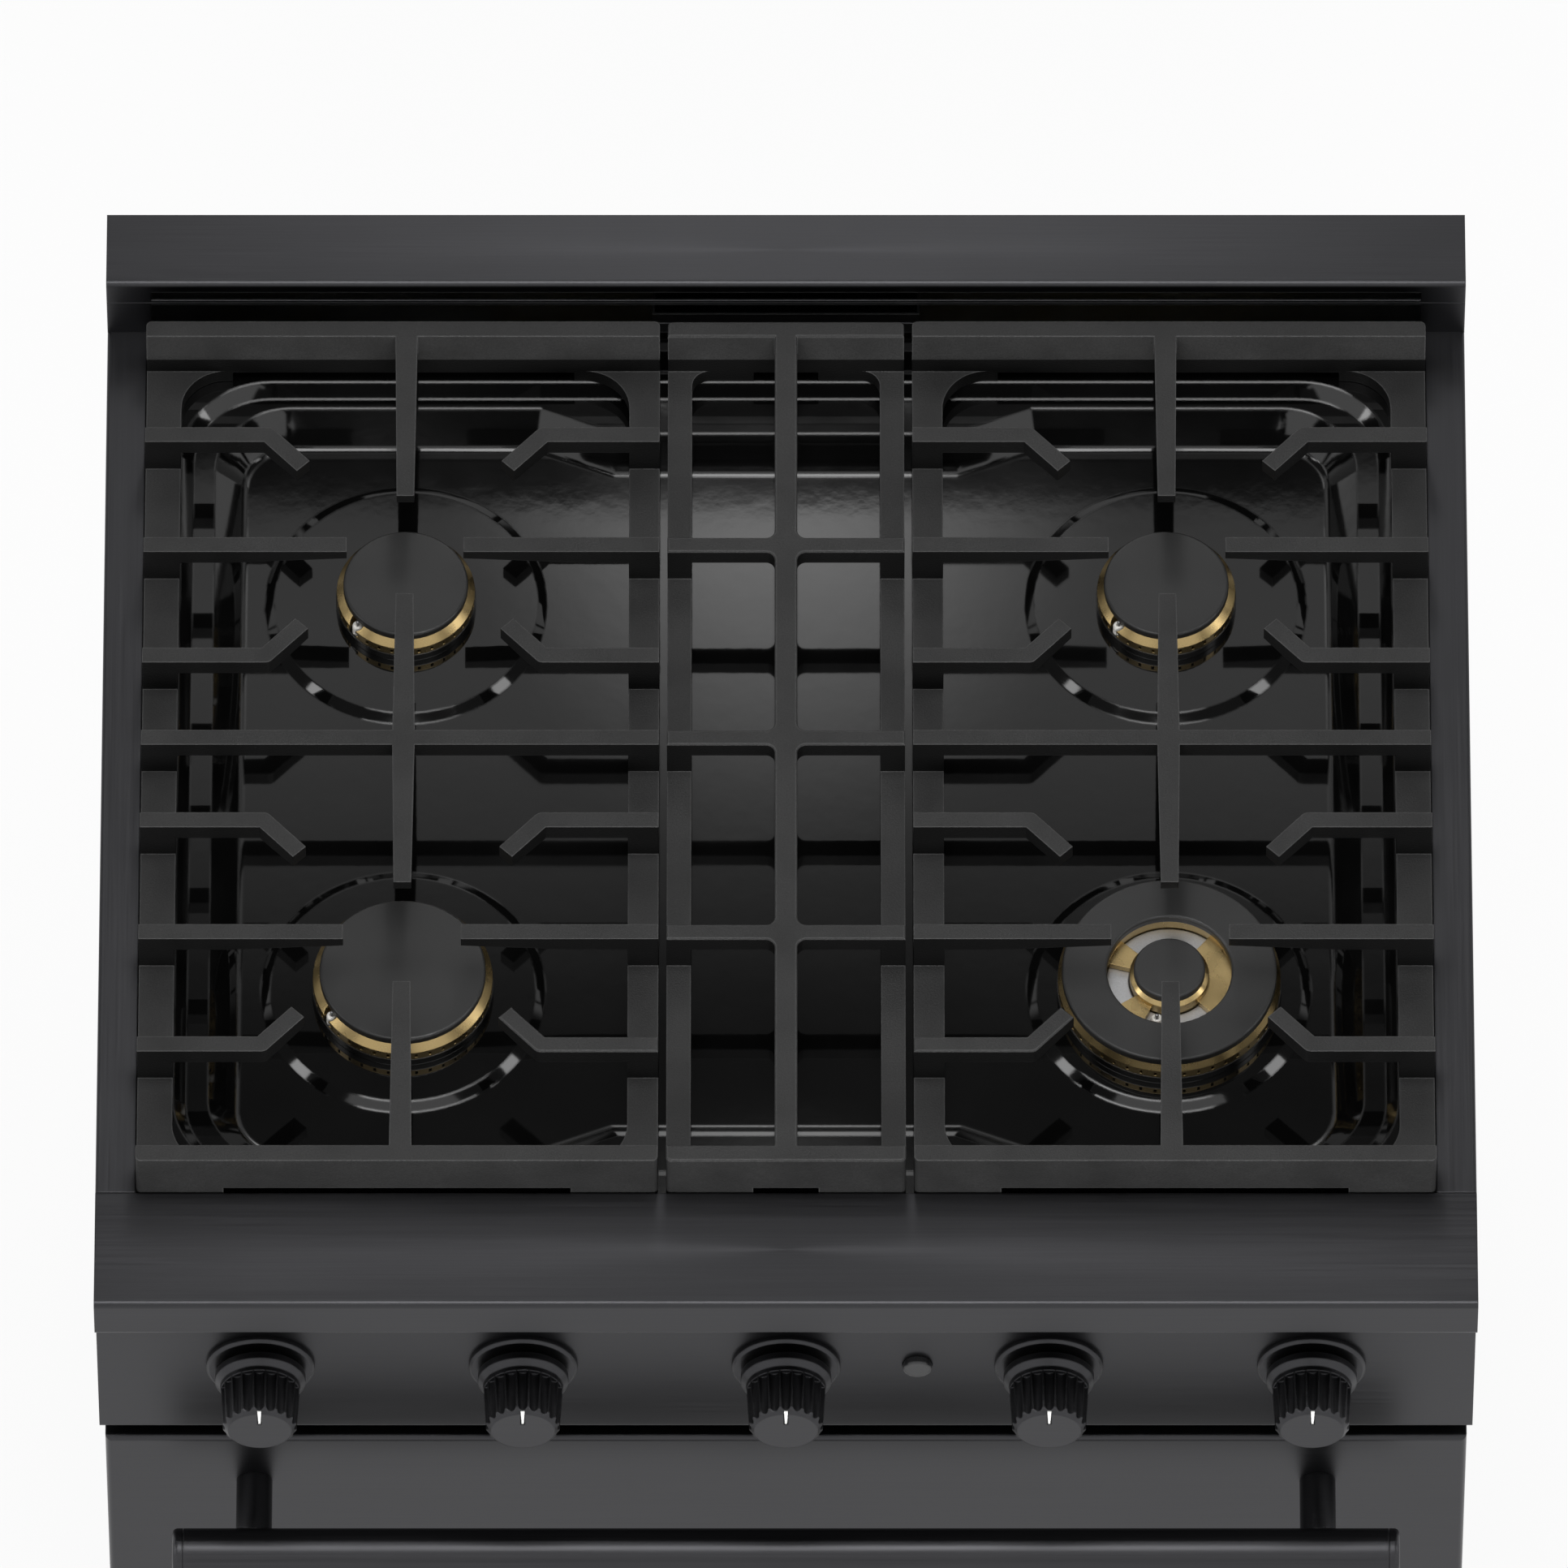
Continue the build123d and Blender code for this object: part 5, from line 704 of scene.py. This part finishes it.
lamp_glass = grained(
    "frosted_lamp_glass",
    ("#e8e2d2", "#f6f1e4"),
    (0.25, 0.35),
    grain=0.002,
    relief=0.00002,
    Transmission_Weight=0.7,
    IOR=1.5,
)
print("other finishes ready")

# %% [markdown]
# The door's panes carry a black printed border that hides the edge of the window opening. Towards the clear
# middle the print breaks up into dots, as on a real oven door. The border is where a point is further from
# the window's middle than the clear field reaches, and the dots are a grid of cells whose size grows with
# the distance.

# %% Printed border of the window
WINDOW_MIDDLE = (0.0, 0.0, 0.459)
CLEAR_FIELD = (0.213, 1.0, 0.088)
DOT_PITCH = 0.0024
DOT_FADE = 0.016
DOT_REACH = 0.9
INK_TONE = "#060607"

glass_tree = dark_glass.node_tree
glass_shader = glass_tree.nodes["Principled BSDF"]
glass_place = add_node(glass_tree, "ShaderNodeTexCoord", {})
glass_off = add_node(
    glass_tree,
    "ShaderNodeVectorMath",
    {0: glass_place.outputs["Object"], 1: WINDOW_MIDDLE},
    operation="SUBTRACT",
)
glass_reach = add_node(glass_tree, "ShaderNodeVectorMath", {0: glass_off.outputs[0]}, operation="ABSOLUTE")
glass_over = add_node(
    glass_tree, "ShaderNodeVectorMath", {0: glass_reach.outputs[0], 1: CLEAR_FIELD}, operation="SUBTRACT"
)
glass_sides = add_node(glass_tree, "ShaderNodeSeparateXYZ", {0: glass_over.outputs[0]})
glass_edge = add_node(
    glass_tree,
    "ShaderNodeMath",
    {0: glass_sides.outputs["X"], 1: glass_sides.outputs["Z"]},
    operation="MAXIMUM",
)
dots = add_node(
    glass_tree,
    "ShaderNodeTexVoronoi",
    {"Vector": glass_place.outputs["Object"], "Scale": 1 / DOT_PITCH, "Randomness": 0.0},
)
dot_size = add_node(
    glass_tree,
    "ShaderNodeMapRange",
    {"Value": glass_edge.outputs[0], "From Max": DOT_FADE, "To Max": DOT_REACH},
)
printed = add_node(
    glass_tree,
    "ShaderNodeMath",
    {0: dots.outputs["Distance"], 1: dot_size.outputs[0]},
    operation="LESS_THAN",
)
clear = add_node(
    glass_tree, "ShaderNodeMapRange", {"Value": printed.outputs[0], "To Min": GLASS_CLEAR, "To Max": 0.0}
)
tint = glass_shader.inputs["Base Color"].links[0].from_socket
ink = add_node(
    glass_tree, "ShaderNodeMix", {0: printed.outputs[0], 6: tint, 7: hex_colour(INK_TONE)}, data_type="RGBA"
)
glass_tree.links.new(ink.outputs[2], glass_shader.inputs["Base Color"])
glass_tree.links.new(clear.outputs[0], glass_shader.inputs["Transmission Weight"])
print("window border:", round(DOT_FADE * 1000), "mm of dots")

# %% [markdown]
# Each solid of the range keeps its own shape and takes the finish of the slot that its record names. Three
# solids have a finish of their own: the brush marks of the side trims run front to back, while those of all
# other black stainless pieces run across, the burner bases are enamelled, and the flue takes the black
# paint of the sides as painted shade, so that it stays dark where it shows through the vent slot.

# %% Dress the solids
SLOT_FINISH = {
    "black_stainless": steel_across,
    "black_painted_steel": painted,
    "galvanised_steel": zinc,
    "black_enamel": pan_enamel,
    "oven_enamel": oven_enamel,
    "cast_iron": cast_iron,
    "cap_enamel": cap_enamel,
    "satin_brass": brass,
    "valve_brass": valve_brass,
    "cast_aluminium": aluminium,
    "plain_steel": plain_steel,
    "chromed_wire": chrome,
    "white_ceramic": ceramic,
    "clear_glass": dark_glass,
    "lamp_glass": lamp_glass,
    "mineral_wool": wool,
    "woven_gasket": woven,
    "black_plastic": dark_plastic,
    "button_plastic": button_plastic,
}
# the flue's black paint is painted shade for the dark inside the vent slot
OWN_FINISH = {"side_trims": steel_back, "burner_bases": base_enamel, "flue_duct": painted}

for entry in frame["record"]["subparts"]:
    solid = nodes[entry["node"]]
    solid.data.materials.clear()
    solid.data.materials.append(OWN_FINISH.get(entry["node"], SLOT_FINISH[entry["material_slot"]]))

# %% [markdown]
# Some pieces are modelled here from a primitive, by the edit-mode tools, at the place where they belong.
# These helpers open a new primitive for editing, pick its faces by where they lie, and push the picked
# faces out in steps that widen or narrow.

# %% Shaping helpers
UP = Vector((0, 0, 1))
FACING = 0.9


def open_piece(name):
    """Names the new primitive, puts its place into its mesh and opens it for editing by faces."""
    piece = bpy.context.object
    piece.name = name
    bpy.ops.object.transform_apply(location=True, rotation=True, scale=True)
    bpy.ops.object.mode_set(mode="EDIT")
    bpy.ops.mesh.select_mode(type="FACE")
    return piece


def pick_faces(piece, way):
    """Selects the faces that look along a direction."""
    bpy.ops.mesh.select_all(action="DESELECT")
    bpy.ops.object.mode_set(mode="OBJECT")
    for face in piece.data.polygons:
        face.select = face.normal.dot(way) > FACING
    bpy.ops.object.mode_set(mode="EDIT")


def push_out(way, middle, steps):
    """Extrudes the picked faces along a direction, in steps of a distance and a scale about the middle."""
    for distance, scale in steps:
        bpy.ops.mesh.extrude_region_move(TRANSFORM_OT_translate={"value": way * distance})
        shares = [scale + (1 - scale) * abs(part) for part in way]
        bpy.ops.transform.resize(value=shares, center_override=middle)


# %% [markdown]
# When its shape is there, a piece has its edges rounded and its faces smoothed. A piece that repeats is
# modelled once and copied, and copies that stay on one body are joined.

# %% Finishing helpers
BEVEL_SEGMENTS = 2
SMOOTH_ANGLE = radians(35)


def close_piece(piece, finish, round_off):
    """Rounds the edges, smooths the faces between them and gives the piece its finish."""
    bpy.ops.object.mode_set(mode="OBJECT")
    bpy.ops.object.modifier_add(type="BEVEL")
    edges = piece.modifiers[-1]
    edges.width = round_off
    edges.segments = BEVEL_SEGMENTS
    edges.limit_method = "ANGLE"
    bpy.ops.object.modifier_apply(modifier=edges.name)
    bpy.ops.object.shade_smooth_by_angle(angle=SMOOTH_ANGLE)
    piece.data.materials.append(finish)


def copies_of(piece, offsets):
    """Copies of a piece, each moved by an offset that goes into its mesh."""
    made = []
    for offset in offsets:
        bpy.ops.object.select_all(action="DESELECT")
        piece.select_set(True)
        bpy.context.view_layer.objects.active = piece
        bpy.ops.object.duplicate_move(TRANSFORM_OT_translate={"value": offset})
        bpy.ops.object.transform_apply(location=True)
        made.append(bpy.context.object)
    return made


def join_to(piece, others):
    """Joins other pieces to a piece."""
    bpy.ops.object.select_all(action="DESELECT")
    for other in others:
        other.select_set(True)
    piece.select_set(True)
    bpy.context.view_layer.objects.active = piece
    bpy.ops.object.join()


# %% [markdown]
# Each burner has an igniter beside its flame head: a glazed ceramic tube with a groove below its shoulder
# and a socket in its top. The first is modelled at the rear left burner and copied to the others. A
# burner's igniter is given by the burner's middle, its distance from there and the angle in degrees.

# %% Igniter ceramics
IGNITER_RADIUS = 0.0032
IGNITER_FOOT_Z = 0.863
IGNITER_GROOVE_Z = 0.8935
IGNITER_SIDES = 40
IGNITER_ROUND = 0.0002
SPARKS = [
    (-0.212, 0.156, 0.0346, 220),
    (0.212, 0.156, 0.0346, 220),
    (-0.212, -0.100, 0.0458, 212),
    (0.212, -0.100, 0.02715, 255),
]
GROOVE_SHARE = 0.87
GROOVE_STEPS = [(0.0004, GROOVE_SHARE), (0.0006, 1.0), (0.0004, 1 / GROOVE_SHARE)]
SHOULDER_STEPS = [(0.0026, 1.0), (0.0008, 0.86), (0.0006, 0.9)]
SOCKET_STEPS = [(0.0, 0.5), (-0.001, 0.95)]

spark_places = [Vector((x + r * cos(radians(a)), y + r * sin(radians(a)), 0)) for x, y, r, a in SPARKS]
spark_offsets = [place - spark_places[0] for place in spark_places[1:]]

bpy.ops.object.select_all(action="DESELECT")
bpy.ops.mesh.primitive_cylinder_add(
    vertices=IGNITER_SIDES,
    radius=IGNITER_RADIUS,
    depth=IGNITER_GROOVE_Z - IGNITER_FOOT_Z,
    location=spark_places[0] + UP * (IGNITER_GROOVE_Z + IGNITER_FOOT_Z) / 2,
)
ceramics = open_piece("igniter_ceramics")
pick_faces(ceramics, UP)
push_out(UP, spark_places[0], GROOVE_STEPS + SHOULDER_STEPS + SOCKET_STEPS)
close_piece(ceramics, ceramic, IGNITER_ROUND)
join_to(ceramics, copies_of(ceramics, spark_offsets))
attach(ceramics, "range")
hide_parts("burner_igniters")
print("igniters:", len(SPARKS), "ceramic faces:", len(ceramics.data.polygons))

# %% [markdown]
# In the socket of each ceramic stands a steel electrode with a nail head, from which the spark jumps to the
# flame head. It is a thin wire that widens once and ends in a dome.

# %% Igniter electrodes
ELECTRODE_RADIUS = 0.0007
ELECTRODE_Z = 0.8978
ELECTRODE_WIRE = 0.002
ELECTRODE_SIDES = 24
ELECTRODE_ROUND = 0.0001
ELECTRODE_STEPS = [(0.0008, 1.0), (0.0002, 1.55), (0.0006, 1.0), (0.0004, 0.8), (0.0002, 0.55)]

bpy.ops.object.select_all(action="DESELECT")
bpy.ops.mesh.primitive_cylinder_add(
    vertices=ELECTRODE_SIDES,
    radius=ELECTRODE_RADIUS,
    depth=ELECTRODE_WIRE,
    location=spark_places[0] + UP * (ELECTRODE_Z + ELECTRODE_WIRE / 2),
)
electrodes = open_piece("igniter_electrodes")
pick_faces(electrodes, UP)
push_out(UP, spark_places[0], ELECTRODE_STEPS)
close_piece(electrodes, plain_steel, ELECTRODE_ROUND)
join_to(electrodes, copies_of(electrodes, spark_offsets))
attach(electrodes, "range")
print("electrode faces:", len(electrodes.data.polygons))

# %% [markdown]
# Each knob has a groove at the top of its face, and a white inlay lies in it as the pointer: a bar that
# narrows to the middle of the knob, with a shallow channel. It turns with its knob.

# %% Knob pointers
KNOB_FRONT_Y = -0.3450
KNOB_Z = 0.818
KNOB_X = {"rear_left": -0.290, "front_left": -0.145, "oven": 0.0, "front_right": 0.145, "rear_right": 0.290}
POINTER_SIZE = (0.0022, 0.0009, 0.0122)
POINTER_RISE = 0.0133
POINTER_SUNK = 0.0002
POINTER_NARROW = 0.55
POINTER_ROUND = 0.00012
CHANNEL_MARGIN = 0.0004
CHANNEL_DEPTH = 0.0002
FRONT = Vector((0, -1, 0))

knob_names = list(KNOB_X)
first_x = KNOB_X[knob_names[0]]
pointer_middle = Vector((first_x, KNOB_FRONT_Y + POINTER_SUNK + POINTER_SIZE[1] / 2, KNOB_Z + POINTER_RISE))
bpy.ops.object.select_all(action="DESELECT")
bpy.ops.mesh.primitive_cube_add(size=1, location=pointer_middle, scale=POINTER_SIZE)
pointer = open_piece("knob_pointer_" + knob_names[0])
pick_faces(pointer, -UP)
bpy.ops.transform.resize(value=(POINTER_NARROW, 1, 1), center_override=pointer_middle)
pick_faces(pointer, FRONT)
bpy.ops.mesh.inset(thickness=CHANNEL_MARGIN)
bpy.ops.transform.translate(value=-FRONT * CHANNEL_DEPTH)
close_piece(pointer, inlay, POINTER_ROUND)
pointers = [pointer] + copies_of(pointer, [(KNOB_X[name] - first_x, 0, 0) for name in knob_names[1:]])
for name, piece in zip(knob_names, pointers):
    piece.name = "knob_pointer_" + name
    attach(piece, "knob_" + name)
print("pointers:", len(pointers))

# %% [markdown]
# The back panel is held by sheet-metal screws with a hexagon head on a washer. The washer is a flared disc,
# and the head has a hollow top. One is modelled at the lower left corner and copied along the panel's
# edges.

# %% Back panel screws
SCREW_Y = 0.3645
SCREW_ROWS = [0.128, 0.274, 0.420, 0.566, 0.712, 0.896]
SCREW_X = 0.366
SCREW_COLUMNS = [-0.22, -0.073, 0.073, 0.22]
SCREW_ROUND = 0.0001
WASHER_RADIUS = 0.0055
WASHER_SHEET = 0.0004
WASHER_SIDES = 24
WASHER_STEPS = [(0.0002, 0.86), (0.0, 0.8)]
HEAD_RADIUS = 0.0040
HEAD_FOOT = 0.0005
HEAD_HEIGHT = 0.0008
HEAD_SIDES = 6
HEAD_STEPS = [(0.0003, 0.93), (0.0, 0.62), (-0.0004, 0.85)]
BACK = Vector((0, 1, 0))

screw_first = Vector((-SCREW_X, SCREW_Y, SCREW_ROWS[0]))
screw_places = [(side * SCREW_X, row) for side in (-1, 1) for row in SCREW_ROWS]
screw_places += [(column, row) for column in SCREW_COLUMNS for row in (SCREW_ROWS[0], SCREW_ROWS[-1])]
screw_offsets = [Vector((x, SCREW_Y, z)) - screw_first for x, z in screw_places[1:]]

bpy.ops.object.select_all(action="DESELECT")
bpy.ops.mesh.primitive_cylinder_add(
    vertices=WASHER_SIDES,
    radius=WASHER_RADIUS,
    depth=WASHER_SHEET,
    location=screw_first + BACK * WASHER_SHEET / 2,
    rotation=(pi / 2, 0, 0),
)
washer = open_piece("back_panel_washers")
pick_faces(washer, BACK)
push_out(BACK, screw_first, WASHER_STEPS)
close_piece(washer, zinc_screw, SCREW_ROUND)
bpy.ops.object.select_all(action="DESELECT")
bpy.ops.mesh.primitive_cylinder_add(
    vertices=HEAD_SIDES,
    radius=HEAD_RADIUS,
    depth=HEAD_HEIGHT,
    location=screw_first + BACK * (HEAD_FOOT + HEAD_HEIGHT / 2),
    rotation=(pi / 2, 0, 0),
)
screws = open_piece("back_panel_screws")
pick_faces(screws, BACK)
push_out(BACK, screw_first, HEAD_STEPS)
close_piece(screws, zinc_screw, SCREW_ROUND)
join_to(screws, [washer])
join_to(screws, copies_of(screws, screw_offsets))
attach(screws, "range")
print("screws:", len(screw_places))
